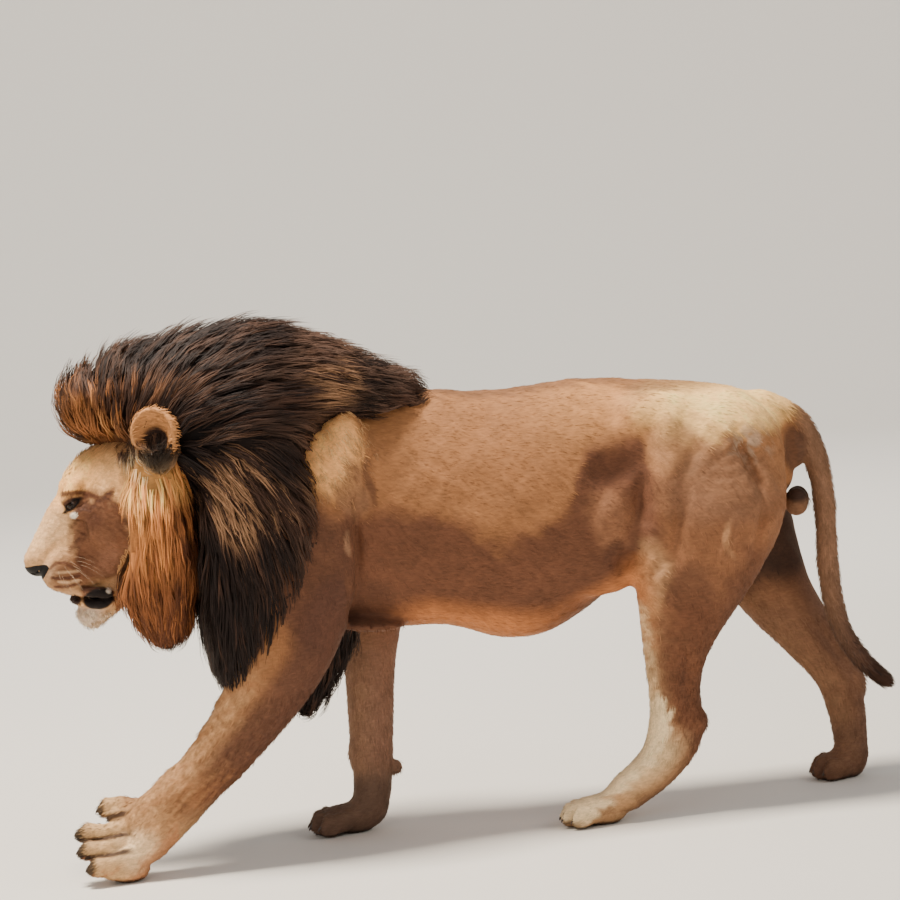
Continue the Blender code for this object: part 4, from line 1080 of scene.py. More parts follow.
# Which way the hair lies: place (x, z) and direction (x, out from the middle, z)
LIE = [
    (-1.02, 0.76, 0.55, 0.0, 0.8), (-0.95, 0.9, 0.5, 0.1, 0.85), (-0.9, 1.02, 0.6, 0.2, 0.8),
    (-0.93, 0.8, 0.7, 0.6, 0.2), (-0.86, 0.82, 0.8, 0.4, -0.35), (-0.86, 0.7, 0.6, 0.4, -0.75),
    (-0.93, 0.64, 0.2, 0.2, -1.0), (-0.75, 0.9, 0.9, 0.3, -0.3), (-0.5, 0.9, 0.9, 0.0, -0.5),
    (-0.3, 0.95, 0.8, 0.0, -0.6), (-0.35, 0.7, 0.2, 0.0, -1.0), (-0.42, 0.55, -0.2, 0.0, -1.0),
    (-0.6, 0.33, -0.6, 0.0, -0.8), (-0.78, 0.15, -0.8, 0.0, -0.6), (-0.93, 0.08, -1.0, 0.0, -0.2),
    (-0.22, 0.5, 0.0, 0.0, -1.0), (-0.24, 0.2, -0.05, 0.0, -1.0), (-0.36, 0.04, -1.0, 0.0, -0.3),
    (-0.1, 1.05, 1.0, 0.0, -0.1), (0.0, 0.8, 1.0, 0.0, -0.3), (0.0, 0.55, 1.0, 0.0, -0.1),
    (0.3, 1.05, 1.0, 0.0, -0.1), (0.3, 0.8, 1.0, 0.0, -0.4), (0.3, 0.55, 1.0, 0.0, 0.2),
    (0.6, 1.02, 1.0, 0.0, -0.2), (0.55, 0.8, 0.7, 0.0, -0.8), (0.75, 0.9, 0.7, 0.0, -0.8),
    (0.62, 0.6, 0.1, 0.0, -1.0), (0.5, 0.4, 0.0, 0.0, -1.0), (0.47, 0.2, -0.3, 0.0, -1.0),
    (0.35, 0.07, -1.0, 0.0, -0.4), (0.22, 0.04, -1.0, 0.0, -0.2), (0.75, 0.6, 0.5, 0.0, -0.9),
    (0.86, 0.38, 0.5, 0.0, -0.9), (0.95, 0.2, 0.05, 0.0, -1.0), (0.9, 0.04, -1.0, 0.0, -0.3),
    (0.9, 0.8, 0.2, 0.0, -1.0), (0.91, 0.6, 0.0, 0.0, -1.0), (0.93, 0.38, 0.3, 0.0, -0.95),
    (1.02, 0.26, 0.8, 0.0, -0.6),
]


def lie(p, n):
    """The way the coat lies at points of the skin."""
    rows = np.array(LIE)
    gap = (p[:, None, 0] - rows[:, 0]) ** 2 + (p[:, None, 2] - rows[:, 1]) ** 2
    weight = 1 / (gap + 0.0004) ** 1.6
    way = (weight @ rows[:, 2:5]) / weight.sum(1, keepdims=True)
    way[:, 1] *= np.sign(p[:, 1])
    way = way - n * (way * n).sum(1, keepdims=True)
    return unit(way)


def painted_material(name, rough, shine):
    """A new material, with its node tree, its shader and the colour that the piece was painted with."""
    made = bpy.data.materials.new(name)
    made.use_nodes = True
    tree = made.node_tree
    shader = tree.nodes["Principled BSDF"]
    shader.inputs["Roughness"].default_value = rough
    shader.inputs["Specular IOR Level"].default_value = shine
    painted = tree.nodes.new("ShaderNodeVertexColor")
    painted.layer_name = "Coat"
    return made, tree, shader, painted.outputs["Color"]


def add_bump(tree, shader, height, strength, distance):
    """Lets a height tilt the shading."""
    lift = tree.nodes.new("ShaderNodeBump")
    lift.inputs["Strength"].default_value = strength
    lift.inputs["Distance"].default_value = distance
    tree.links.new(height, lift.inputs["Height"])
    tree.links.new(lift.outputs["Normal"], shader.inputs["Normal"])


def hair_material(name, layer, stretch, size, detail, tones, bump, rough=0.7, sheen=0.05):
    """Streaks and bumps over the painted colour: along the locks by their UV layer, or in space."""
    made, tree, shader, painted = painted_material(name, rough, 0.2)
    if layer:
        place = tree.nodes.new("ShaderNodeUVMap")
        place.uv_map = layer
    else:
        place = tree.nodes.new("ShaderNodeTexCoord")
    mapping = tree.nodes.new("ShaderNodeMapping")
    mapping.inputs["Scale"].default_value = stretch
    noise = tree.nodes.new("ShaderNodeTexNoise")
    noise.inputs["Scale"].default_value = size
    noise.inputs["Detail"].default_value = detail
    value = tree.nodes.new("ShaderNodeMapRange")
    value.inputs["From Min"].default_value, value.inputs["From Max"].default_value = 0.3, 0.7
    value.inputs["To Min"].default_value, value.inputs["To Max"].default_value = tones
    scale = tree.nodes.new("ShaderNodeVectorMath")
    scale.operation = "SCALE"
    link = tree.links.new
    link(place.outputs["UV" if layer else "Object"], mapping.inputs["Vector"])
    link(mapping.outputs["Vector"], noise.inputs["Vector"])
    link(noise.outputs["Fac"], value.inputs["Value"])
    link(painted, scale.inputs[0])
    link(value.outputs["Result"], scale.inputs["Scale"])
    link(scale.outputs["Vector"], shader.inputs["Base Color"])
    add_bump(tree, shader, noise.outputs["Fac"], *bump)
    shader.inputs["Sheen Weight"].default_value = sheen
    shader.inputs["Sheen Roughness"].default_value = 0.5
    shader.inputs["Sheen Tint"].default_value = (1.0, 0.72, 0.5, 1.0)
    return made


def plain_material(name, rough, bump=0.0, size=400.0, shine=0.5):
    """A finish over the painted colour, with fine grain."""
    made, tree, shader, painted = painted_material(name, rough, shine)
    tree.links.new(painted, shader.inputs["Base Color"])
    shader.inputs["Coat Roughness"].default_value = 0.03
    if bump:
        place = tree.nodes.new("ShaderNodeTexCoord")
        cells = tree.nodes.new("ShaderNodeTexVoronoi")
        cells.inputs["Scale"].default_value = size
        tree.links.new(place.outputs["Object"], cells.inputs["Vector"])
        add_bump(tree, shader, cells.outputs["Distance"], bump, 0.0006)
    return made


# ---------------------------------------------------------------- mane

GOLD, LIGHT_GOLD = colour(150, 94, 52), colour(196, 136, 80)
MANE_BROWN, MANE_BLACK = colour(62, 41, 31), colour(27, 16, 14)
TAN, SMOKE = colour(150, 112, 82), colour(86, 64, 53)
# RUFF_LIGHT, the tone of the ruff's top, is partly its own gold and partly painted sunlight
RUFF_LIGHT, RUFF_GOLD = colour(255, 184, 108), colour(206, 132, 72)
RUFF_MID, RUFF_DEEP = colour(160, 98, 56), colour(92, 52, 31)
CREST = [(-0.832, 1.222, 1.02, 0.12), (-0.77, 1.262, 0.986, 0.152), (-0.69, 1.268, 0.88, 0.184),
         (-0.58, 1.284, 0.8, 0.235), (-0.46, 1.292, 0.78, 0.252), (-0.38, 1.272, 0.86, 0.235),
         (-0.31, 1.245, 0.97, 0.205), (-0.24, 1.214, 1.005, 0.18), (-0.16, 1.17, 1.008, 0.145),
         (-0.11, 1.142, 1.01, 0.11)]
BREAST = [(-0.485, 0, 1.0, 0.155, 0.245), (-0.485, 0, 0.89, 0.158, 0.255), (-0.49, 0, 0.78, 0.152, 0.245),
          (-0.52, 0, 0.65, 0.126, 0.225), (-0.553, 0, 0.54, 0.088, 0.185), (-0.57, 0, 0.455, 0.044, 0.13)]
DRAPE = [(-0.48, 0.17, 0.92, 0.14, 0.075), (-0.485, 0.186, 0.8, 0.148, 0.068),
         (-0.518, 0.186, 0.65, 0.124, 0.064), (-0.553, 0.18, 0.545, 0.086, 0.06),
         (-0.57, 0.165, 0.46, 0.046, 0.05)]
BRISKET = [(-0.31, 0, 0.53, 0.055, 0.06), (-0.355, 0, 0.43, 0.048, 0.045), (-0.395, 0, 0.352, 0.03, 0.032)]
RUFF = [(-0.705, 0.125, 1.0, 0.072, 0.06), (-0.716, 0.145, 0.88, 0.088, 0.068),
        (-0.722, 0.142, 0.77, 0.094, 0.072), (-0.729, 0.112, 0.67, 0.096, 0.07),
        (-0.722, 0.07, 0.6, 0.07, 0.056)]

# The comb: place (x, z), direction (x, out, z), length, wave and stray in metres, the tone of
# most locks, the tone of the others, and the share of the others
COMB = {
    "mane": [
        (-0.93, 1.14, -0.4, 0.1, 1.0, 0.085, 0.003, 0.024, MANE_BROWN, GOLD, 0.3),
        (-0.9, 1.04, -0.25, 0.2, 1.0, 0.1, 0.002, 0.008, GOLD, MANE_BROWN, 0.25),
        (-0.87, 1.11, -0.15, 0.2, 1.0, 0.1, 0.002, 0.008, GOLD, LIGHT_GOLD, 0.3),
        (-0.87, 1.17, -0.2, 0.15, 1.0, 0.09, 0.003, 0.02, MANE_BROWN, GOLD, 0.22),
        (-0.8, 1.14, 0.1, 0.15, 1.0, 0.09, 0.003, 0.02, MANE_BROWN, GOLD, 0.22),
        (-0.82, 1.06, 0.0, 0.2, 1.0, 0.11, 0.002, 0.008, GOLD, LIGHT_GOLD, 0.25),
        (-0.78, 1.1, 0.15, 0.2, 1.0, 0.11, 0.002, 0.008, MANE_BROWN, GOLD, 0.35),
        (-0.8, 1.2, 0.25, 0.1, 1.0, 0.095, 0.004, 0.026, MANE_BLACK, MANE_BROWN, 0.45),
        (-0.9, 1.21, -0.3, 0.1, 1.0, 0.08, 0.004, 0.026, MANE_BLACK, MANE_BROWN, 0.5),
        (-0.7, 1.24, 0.55, 0.1, 0.8, 0.12, 0.005, 0.028, MANE_BLACK, MANE_BROWN, 0.4),
        (-0.72, 1.08, 0.55, 0.3, 0.85, 0.12, 0.003, 0.01, MANE_BLACK, MANE_BROWN, 0.35),
        (-0.55, 1.26, 0.9, 0.05, 0.4, 0.13, 0.006, 0.03, MANE_BLACK, MANE_BROWN, 0.45),
        (-0.41, 1.26, 1.0, 0.05, 0.02, 0.14, 0.006, 0.03, MANE_BLACK, MANE_BROWN, 0.5),
        (-0.28, 1.2, 1.0, 0.05, -0.22, 0.13, 0.006, 0.03, MANE_BROWN, SMOKE, 0.4),
        (-0.17, 1.15, 1.0, 0.0, -0.2, 0.11, 0.006, 0.026, SMOKE, MANE_BLACK, 0.45),
        (-0.09, 1.09, 1.0, 0.0, -0.25, 0.08, 0.005, 0.024, MANE_BROWN, SMOKE, 0.5),
        (-0.26, 1.125, 0.95, 0.1, -0.25, 0.1, 0.005, 0.01, TAN, MANE_BROWN, 0.5),
        (-0.2, 1.05, 1.0, 0.0, -0.1, 0.1, 0.004, 0.012, MANE_BLACK, SMOKE, 0.35),
        (-0.6, 1.06, 0.85, 0.15, 0.3, 0.14, 0.004, 0.008, MANE_BLACK, MANE_BROWN, 0.4),
        (-0.5, 1.08, 0.95, 0.1, 0.12, 0.15, 0.004, 0.008, MANE_BLACK, MANE_BROWN, 0.5),
        (-0.38, 1.09, 1.0, 0.05, -0.05, 0.15, 0.004, 0.008, MANE_BROWN, MANE_BLACK, 0.45),
        (-0.63, 0.95, 0.75, 0.2, -0.45, 0.15, 0.005, 0.008, MANE_BLACK, TAN, 0.12),
        (-0.54, 0.93, 0.65, 0.1, -0.75, 0.15, 0.009, 0.008, MANE_BROWN, TAN, 0.5),
        (-0.53, 0.82, 0.35, 0.1, -0.95, 0.15, 0.009, 0.008, MANE_BROWN, TAN, 0.5),
        (-0.45, 0.86, 0.45, 0.1, -0.9, 0.15, 0.006, 0.008, MANE_BROWN, TAN, 0.22),
        (-0.4, 0.95, 0.7, 0.05, -0.7, 0.15, 0.004, 0.008, MANE_BLACK, MANE_BROWN, 0.45),
        (-0.33, 0.98, 0.8, 0.0, -0.6, 0.12, 0.004, 0.012, MANE_BROWN, SMOKE, 0.5),
        (-0.61, 0.74, 0.12, 0.05, -1.0, 0.16, 0.004, 0.008, MANE_BLACK, MANE_BROWN, 0.25),
        (-0.47, 0.73, 0.2, 0.05, -1.0, 0.16, 0.004, 0.008, MANE_BLACK, MANE_BROWN, 0.25),
        (-0.35, 0.78, 0.25, 0.0, -1.0, 0.14, 0.003, 0.012, MANE_BROWN, SMOKE, 0.4),
        (-0.36, 0.64, 0.05, 0.0, -1.0, 0.13, 0.003, 0.012, MANE_BROWN, MANE_BLACK, 0.4),
        (-0.58, 0.6, 0.0, 0.0, -1.0, 0.15, 0.003, 0.008, MANE_BLACK, MANE_BROWN, 0.12),
        (-0.46, 0.58, -0.12, -0.05, -1.0, 0.14, 0.003, 0.01, MANE_BLACK, MANE_BROWN, 0.15),
        (-0.6, 0.46, 0.05, -0.1, -1.0, 0.1, 0.003, 0.012, MANE_BLACK, MANE_BROWN, 0.2),
    ],
    "ruff": [
        (-0.74, 0.97, 0.02, 0.25, -1.0, 0.11, 0.002, 0.006, RUFF_LIGHT, colour(255, 214, 158), 0.25),
        (-0.67, 0.93, 0.08, 0.15, -1.0, 0.12, 0.002, 0.006, RUFF_LIGHT, RUFF_GOLD, 0.3),
        (-0.77, 0.91, 0.02, 0.2, -1.0, 0.12, 0.002, 0.006, RUFF_LIGHT, RUFF_GOLD, 0.3),
        (-0.72, 0.9, 0.0, 0.1, -1.0, 0.12, 0.003, 0.006, RUFF_LIGHT, RUFF_GOLD, 0.4),
        (-0.79, 0.85, 0.02, 0.2, -1.0, 0.13, 0.002, 0.006, RUFF_GOLD, RUFF_LIGHT, 0.35),
        (-0.72, 0.84, 0.0, 0.1, -1.0, 0.14, 0.003, 0.006, RUFF_GOLD, RUFF_MID, 0.35),
        (-0.66, 0.84, 0.0, 0.05, -1.0, 0.14, 0.003, 0.006, RUFF_MID, RUFF_DEEP, 0.4),
        (-0.8, 0.78, -0.02, 0.1, -1.0, 0.14, 0.004, 0.006, RUFF_GOLD, RUFF_MID, 0.4),
        (-0.73, 0.75, 0.0, 0.05, -1.0, 0.15, 0.005, 0.006, RUFF_MID, RUFF_GOLD, 0.35),
        (-0.66, 0.76, 0.0, 0.0, -1.0, 0.15, 0.004, 0.006, RUFF_MID, RUFF_DEEP, 0.5),
        (-0.81, 0.68, 0.06, 0.0, -1.0, 0.11, 0.003, 0.006, RUFF_MID, RUFF_DEEP, 0.35),
        (-0.75, 0.66, 0.04, -0.05, -1.0, 0.11, 0.004, 0.006, RUFF_MID, RUFF_DEEP, 0.5),
        (-0.67, 0.66, -0.04, -0.05, -1.0, 0.12, 0.003, 0.008, RUFF_DEEP, RUFF_MID, 0.35),
        (-0.79, 0.61, 0.3, -0.05, -1.0, 0.08, 0.003, 0.006, RUFF_DEEP, RUFF_MID, 0.45),
        (-0.7, 0.6, -0.02, -0.05, -1.0, 0.08, 0.003, 0.008, RUFF_DEEP, RUFF_MID, 0.35),
        (-0.72, 0.56, 0.0, -0.05, -1.0, 0.06, 0.003, 0.008, RUFF_DEEP, RUFF_MID, 0.3),
    ],
    "chin": [
        (-0.9, 0.64, 0.1, 0.1, -1.0, 0.014, 0.001, 0.002, colour(236, 214, 186), colour(212, 184, 154), 0.4),
        (-0.85, 0.6, 0.4, 0.1, -1.0, 0.016, 0.001, 0.002, colour(222, 194, 162), colour(186, 150, 116), 0.4),
    ],
    "cheek": [
        (-0.8, 0.97, 0.1, 0.15, -1.0, 0.05, 0.001, 0.001, colour(240, 186, 124), colour(244, 208, 160), 0.3),
        (-0.79, 0.84, -0.05, 0.1, -1.0, 0.05, 0.001, 0.001,
         colour(236, 182, 122), colour(190, 130, 80), 0.25),
        (-0.81, 0.75, 0.0, 0.1, -1.0, 0.05, 0.001, 0.001, colour(226, 170, 112), colour(160, 104, 64), 0.3),
        (-0.82, 0.68, 0.05, 0.05, -1.0, 0.045, 0.001, 0.001,
         colour(190, 128, 80), colour(156, 100, 62), 0.4),
        (-0.82, 0.61, 0.2, 0.0, -1.0, 0.04, 0.001, 0.001, colour(146, 92, 56), colour(122, 76, 48), 0.4),
    ],
    # The shoulder's fringe: pale where the sun falls, as painted light, and darker behind the shoulder blade,
    # as painted shade
    "shoulder": [
        (-0.31, 1.01, 0.5, 0.05, -0.9, 0.036, 0.001, 0.002,
         colour(234, 182, 124), colour(220, 168, 114), 0.3),
        (-0.3, 0.93, 0.5, 0.03, -0.9, 0.03, 0.001, 0.001,
         colour(230, 178, 120), colour(212, 160, 108), 0.35),
        (-0.24, 0.9, 0.45, 0.03, -0.95, 0.026, 0.001, 0.001, colour(150, 106, 74), colour(132, 92, 64), 0.4),
        (-0.29, 0.84, 0.45, 0.03, -0.95, 0.026, 0.001, 0.001,
         colour(170, 122, 84), colour(140, 98, 68), 0.4),
    ],
    "ear": [
        (-0.745, 1.07, 0.6, 0.4, -0.3, 0.026, 0.001, 0.004, colour(140, 88, 52), colour(180, 124, 78), 0.35),
        (-0.69, 1.08, -0.1, 0.5, -0.8, 0.03, 0.001, 0.004, colour(150, 96, 58), colour(70, 44, 32), 0.3),
        (-0.69, 1.05, -0.1, 0.5, -0.8, 0.035, 0.001, 0.004, BLACK, colour(70, 44, 32), 0.3),
        (-0.75, 1.03, 0.1, 0.45, -1.0, 0.04, 0.001, 0.004, colour(70, 42, 28), colour(168, 116, 74), 0.3),
        (-0.7, 1.02, -0.2, 0.6, -1.0, 0.07, 0.001, 0.006, BLACK, MANE_BROWN, 0.3),
        (-0.72, 0.985, -0.25, 0.6, -1.0, 0.075, 0.001, 0.006, BLACK, MANE_BROWN, 0.25),
        (-0.76, 0.985, -0.1, 0.5, -1.0, 0.065, 0.001, 0.006, MANE_BROWN, colour(250, 228, 190), 0.35),
        (-0.755, 0.96, -0.05, 0.5, -1.0, 0.06, 0.001, 0.006, colour(252, 222, 180), RUFF_LIGHT, 0.4),
        (-0.79, 1.01, -0.2, 0.3, -1.0, 0.045, 0.001, 0.004, colour(66, 40, 28), colour(150, 100, 62), 0.4),
    ],
    "tail": [
        (0.96, 0.32, 0.65, 0.0, -0.75, 0.04, 0.001, 0.001, MANE_BROWN, SMOKE, 0.5),
        (1.02, 0.26, 0.8, 0.0, -0.6, 0.042, 0.001, 0.001, MANE_BLACK, MANE_BROWN, 0.35),
    ],
    "brisket": [
        (-0.33, 0.5, -0.2, 0.1, -1.0, 0.11, 0.003, 0.012, MANE_BLACK, MANE_BROWN, 0.25),
        (-0.38, 0.4, -0.45, 0.05, -1.0, 0.1, 0.003, 0.014, MANE_BLACK, MANE_BROWN, 0.25),
    ],
}


def mane_form(inset):
    """The outside of the mane, or its wool, which lies inset deeper at the sides."""
    form = Form()
    form.add(side_tube([(x, top - inset * 0.8, low, half - inset) for x, top, low, half in CREST]), 0.05)
    form.add(tube([(x, y, z, deep - inset * 0.35, wide - inset) for x, y, z, deep, wide in BREAST]), 0.05)
    for side in (-1, 1):
        rows = [(x, y * side, z, deep - inset * 0.35, wide - inset) for x, y, z, deep, wide in DRAPE]
        form.add(tube(rows), 0.03)
    return form


def ruff_form(inset):
    """The outside of the ruff, or its wool, which lies inset deeper."""
    form = Form()
    form.add(ball((-0.715, 0, 0.7), np.array((0.09, 0.14, 0.11)) - inset), 0.03)
    for side in (-1, 1):
        form.add(tube([(x, y * side, z + inset * 0.5, d, w) for x, y, z, d, w in RUFF], 0.0, inset), 0.03)
    return form


def brisket_form(inset):
    """The tuft between the forelegs."""
    form = Form()
    form.add(tube(BRISKET, 0.0, inset), 0.03)
    return form


def tail_form(inset):
    """The tuft at the end of the tail."""
    form = Form()
    form.add(tube(TAIL[-3:], 0.0, inset), 0.01)
    return form


def combed(points, table):
    """The comb's direction, numbers and tones at points."""
    numbers = np.array([row[:8] for row in table])
    tones = np.array([[*row[8], *row[9], row[10]] for row in table])
    gap = (points[:, None, 0] - numbers[:, 0]) ** 2 + (points[:, None, 2] - numbers[:, 1]) ** 2
    weight = 1 / (gap + 0.0003) ** 2
    weight /= weight.sum(1, keepdims=True)
    found = weight @ numbers
    way = found[:, 2:5].copy()
    way[:, 1] *= np.clip(points[:, 1] / 0.06, -1, 1)
    return unit(way), found[:, 5:8], weight @ tones


def comb_paths(roots, shell, table, rings, slack):
    """Paths from roots that follow the comb and come up to the outside of the mane."""
    _, numbers, _ = combed(roots, table)
    length = numbers[:, 0] * RNG.uniform(0.75, 1.2, len(roots))
    sway = unit(RNG.normal(size=roots.shape)) * RNG.uniform(0.0, 0.22, (len(roots), 1))
    begin = shell.at(roots)
    stray = RNG.uniform(0, 1, len(roots)) ** 0.7
    final = slack[0] + (slack[1] - slack[0]) * stray + numbers[:, 2] * (RNG.uniform(0, 1, len(roots)) > 0.85)
    phase = waves(roots, 0.05, 11) * 3
    paths, sides, lifts = [roots], [], []
    here = roots
    for ring in range(rings):
        t = (ring + 1) / rings
        normal = shell.slope(here)
        way, found, _ = combed(here, table)
        way = unit(way + sway)
        flat = way - normal * (way * normal).sum(1, keepdims=True) * 0.85
        rise = normal * np.clip(0.9 - 1.4 * t, 0, 1) * 0.6
        way = unit(unit(flat) + rise)
        side = unit(np.cross(way, normal))
        step = (length / rings)[:, None]
        curl = side * (np.cos(phase + t * length * 75) * found[:, 1] * 1.3)[:, None]
        there = here + way * step + curl
        wanted = begin + (final - begin) * fade(np.full(len(roots), t), 0.0, 0.6)
        there = there + normal * np.clip(wanted - shell.at(there), -0.02, 0.008)[:, None]
        sides.append(side)
        lifts.append(normal)
        paths.append(there)
        here = there
    return np.stack(paths, 1), np.stack(sides, 1), np.stack(lifts, 1)


TAPER = np.array((0.8, 1.0, 0.85, 0.5))  # width of a lock from its root on, before the tip
GATHER = 0.55  # how far the strands of a lock draw together


def tuft(paths, sides, lifts, strands, spread):
    """Splits each path into strands that draw together at its end."""
    n, rings = len(paths), paths.shape[1] - 1
    t = np.linspace(0, 1, rings + 1)
    off = RNG.normal(0, 0.55, (n, strands, 2)) * spread
    near_end = (1 - GATHER * t)[None, None, :, None]
    along = np.concatenate((sides, sides[:, -1:]), 1)[:, None]
    out = np.concatenate((lifts, lifts[:, -1:]), 1)[:, None]
    made = paths[:, None] + along * off[:, :, None, :1] * near_end
    made = made + out * off[:, :, None, 1:] * near_end * 0.6
    made = made + RNG.normal(0, 0.0045, (n, strands, 1, 3)) * t[None, None, :, None]
    made = made + RNG.normal(0, 0.0016, made.shape) * np.minimum(t * 4, 1)[None, None, :, None]
    short = RNG.uniform(0.68, 1.0, (n, strands, 1))
    at = t * short * rings
    low = np.minimum(at.astype(int), rings - 1)
    share = (at - low)[..., None]
    one = np.take_along_axis(made, low[..., None], 2)
    two = np.take_along_axis(made, low[..., None] + 1, 2)
    made = one * (1 - share) + two * share
    shape = (n, strands, rings, 3)
    side = np.broadcast_to(sides[:, None], shape).reshape(-1, rings, 3)
    lift = np.broadcast_to(lifts[:, None], shape).reshape(-1, rings, 3)
    return made.reshape(-1, rings + 1, 3), side, lift


def mane_piece(name, roots, shell, comb, strands, width, slack, spread=0.01, dark_root=0.45, vary=1.0,
               catch=0.0):
    """Locks from the roots, out to the shell and along a comb.

    Each splits into strands of about width. Slack is how far from the shell they end, at least and
    at most, dark_root how dark they start, as painted shade deep among the locks, vary how much
    their tones differ, and catch how far they turn up to the light.
    """
    rings, table = len(TAPER), COMB[comb]
    paths, sides, lifts = comb_paths(roots, shell, table, rings, slack)
    made, side, lift = tuft(paths, sides, lifts, strands, spread)
    count = len(made)
    pick = np.repeat(RNG.uniform(0, 1, len(roots)), strands) * 0.8 + RNG.uniform(0, 0.2, count)
    tone = np.empty((count, rings + 1, 3))
    for ring in range(rings + 1):
        tones = combed(made[:, ring], table)[2]
        other = 1 - fade(pick, tones[:, 6] - 0.08, tones[:, 6] + 0.08)
        tone[:, ring] = mix(tones[:, :3], tones[:, 3:6], other)
    clump = 1 + vary * np.repeat(RNG.uniform(-0.22, 0.22, (len(roots), 1)), strands, 0)
    tone = tone * ((1 + vary * RNG.uniform(-0.25, 0.25, (count, 1))) * clump)[:, None]
    lift = unit(lift + np.array((-0.5, 0.0, 1.0)) * catch)
    # painted shade near the roots, and lighter to the tips
    along = np.interp(np.linspace(0, 1, rings + 1), (0, 0.35, 0.8, 1), (dark_root, 1.0, 1.08, 1.15))
    tint = np.clip(tone * along[None, :, None], 0.002, 0.95)
    normal = np.repeat(lifts[:, 0], strands, 0)
    wide = width * RNG.uniform(0.5, 1.4, count)
    return locks(name, made, (side, lift), wide, wide * 0.4, tint, unwrap(made[:, 0], normal), TAPER, 0.7)


def underwool(name, form, low, high, grain, comb, shade, slot):
    """The dense wool under the outer locks, its tone darkened by shade as painted shade deep in the mane.
    They root on its points and faces.
    """
    points, quads = form.mesh(low, high, grain)
    points = form.settle(points, 1)
    faces = triangles(quads)
    obj = mesh_object(name, points, faces)
    # painted shade: the comb's tone darkened by shade
    tone = combed(points, COMB[comb])[2][:, :3] * shade
    paint(obj.data, tone * (0.8 + 0.25 * waves(points * (1, 1, 0.4), 0.02, 5))[:, None])
    finish_piece(obj, SHORT, slot)
    return points, faces


def body_tufts(name, skin, count, length, width, lift, weight, keep=None):
    """Short tufts that lie on the skin where weight() is above 0 and keep() allows them."""
    spots, picked = scatter(skin.points, skin.faces, count, weight)
    n = unit(skin.normals[skin.faces[picked]].sum(1))
    if keep is not None:
        chosen = keep(spots)
        spots, n = spots[chosen], n[chosen]
    count = len(spots)
    way = unit(lie(spots, n) + RNG.normal(0, 0.13, (count, 3)))
    way = unit(way - n * (way * n).sum(1, keepdims=True))
    size = RNG.uniform(0.7, 1.3, count)[:, None]
    long = length(spots)[:, None] * size
    rise = lift(spots)[:, None] * size
    root = spots - n * 0.0012
    bent = unit(RNG.normal(size=(count, 3))) * 0.04
    middle = spots + (way + bent) * long * 0.45 + n * rise * 0.6
    tip = spots + way * long + n * rise
    tip[:, 2] = np.maximum(tip[:, 2], 0.001)
    middle[:, 2] = np.maximum(middle[:, 2], 0.001)
    side = unit(np.cross(way, n))
    paths = np.stack((root, middle, tip), 1)
    tone = coat_colour(spots, n) * RNG.uniform(0.82, 1.18, (count, 1))
    # a little painted shade at each tuft's root, lighter to its tip
    along = np.array((0.9, 1.0, 1.06))
    tint = np.clip(tone[:, None] * along[None, :, None], 0.002, 0.95)
    wide = width(spots) * RNG.uniform(0.7, 1.3, count)
    across = np.repeat(side[:, None], 2, 1), np.repeat(n[:, None], 2, 1)
    return locks(name, paths, across, wide, wide * 0.28, tint, unwrap(spots, n), np.array((0.8, 1.0)), 0.12)


# ---------------------------------------------------------------- eyes, nose, claws, whiskers

def swept(rows, around, start=0):
    """The quads of a surface whose rows of points lie one after another."""
    k = np.arange(around)
    after = (k + 1) % around
    k, after = k + start, after + start
    return np.concatenate([np.stack((r * around + k, (r + 1) * around + k, (r + 1) * around + after,
                                     r * around + after), 1) for r in range(rows - 1)])


def eyeball(name, side):
    """An eye with a round pupil, a dark rim and a raised cornea; its amber iris is painted near black, as in
    shade.
    """
    at, axes = eye_frame(side)
    gaze = unit(axes[:, 2] * 0.75 - HEAD_TURN[:, 0] * 0.45)
    one = unit(np.cross(gaze, (0.0, 0.0, 1.0)))
    two = np.cross(gaze, one)
    around, rings = 48, 56
    angle = np.linspace(0.0, math.pi, rings) ** 1.25 / math.pi**0.25
    turn = np.linspace(0, 2 * math.pi, around, endpoint=False)
    radius = EYE_RADIUS * (1 + 0.055 * (1 - fade(angle, 0.25, 0.62)))
    points = []
    for a, r in zip(angle, radius):
        ring = np.cos(a) * gaze + np.sin(a) * (np.cos(turn)[:, None] * one + np.sin(turn)[:, None] * two)
        points.append(at + ring * r)
    points = np.concatenate(points)
    quads = swept(rings, around)
    a, b, c = (points[quads[:, i]] - at for i in (0, 1, 2))
    if (a * np.cross(b, c)).sum() < 0:
        quads = quads[:, ::-1]
    obj = mesh_object(name, points, triangles(quads))
    far = np.repeat(angle, around)
    spokes = 1 + 0.22 * np.sin(np.tile(turn, rings) * 23 + 2 * np.sin(np.tile(turn, rings) * 7))
    # the iris painted near black, as in shade
    tone = np.tile(colour(30, 19, 11), (len(points), 1)) * spokes[:, None]
    tone = mix(tone, colour(46, 29, 15), 1 - fade(np.abs(far - 0.3), 0.0, 0.12))
    tone = mix(tone, BLACK * 0.3, 1 - fade(far, 0.25, 0.285))
    tone = mix(tone, BLACK * 0.6, fade(far, 0.5, 0.56))
    tone = mix(tone, colour(70, 52, 42), fade(far, 0.66, 0.9))
    paint(obj.data, tone)
    return obj


def nose_wedge(p):
    """Below 0 inside the wedge of the head's front that the bare nose takes."""
    a, b, s = on_head(p)
    upper = b - np.interp(a, (0.232, 0.262, 0.292), (-0.016, 0.0, 0.01)) + np.abs(s) * 0.1
    lower = np.interp(a, (0.232, 0.262, 0.292), (-0.026, -0.04, -0.046)) - b
    return np.maximum(np.maximum(upper, lower), 0.236 - a)


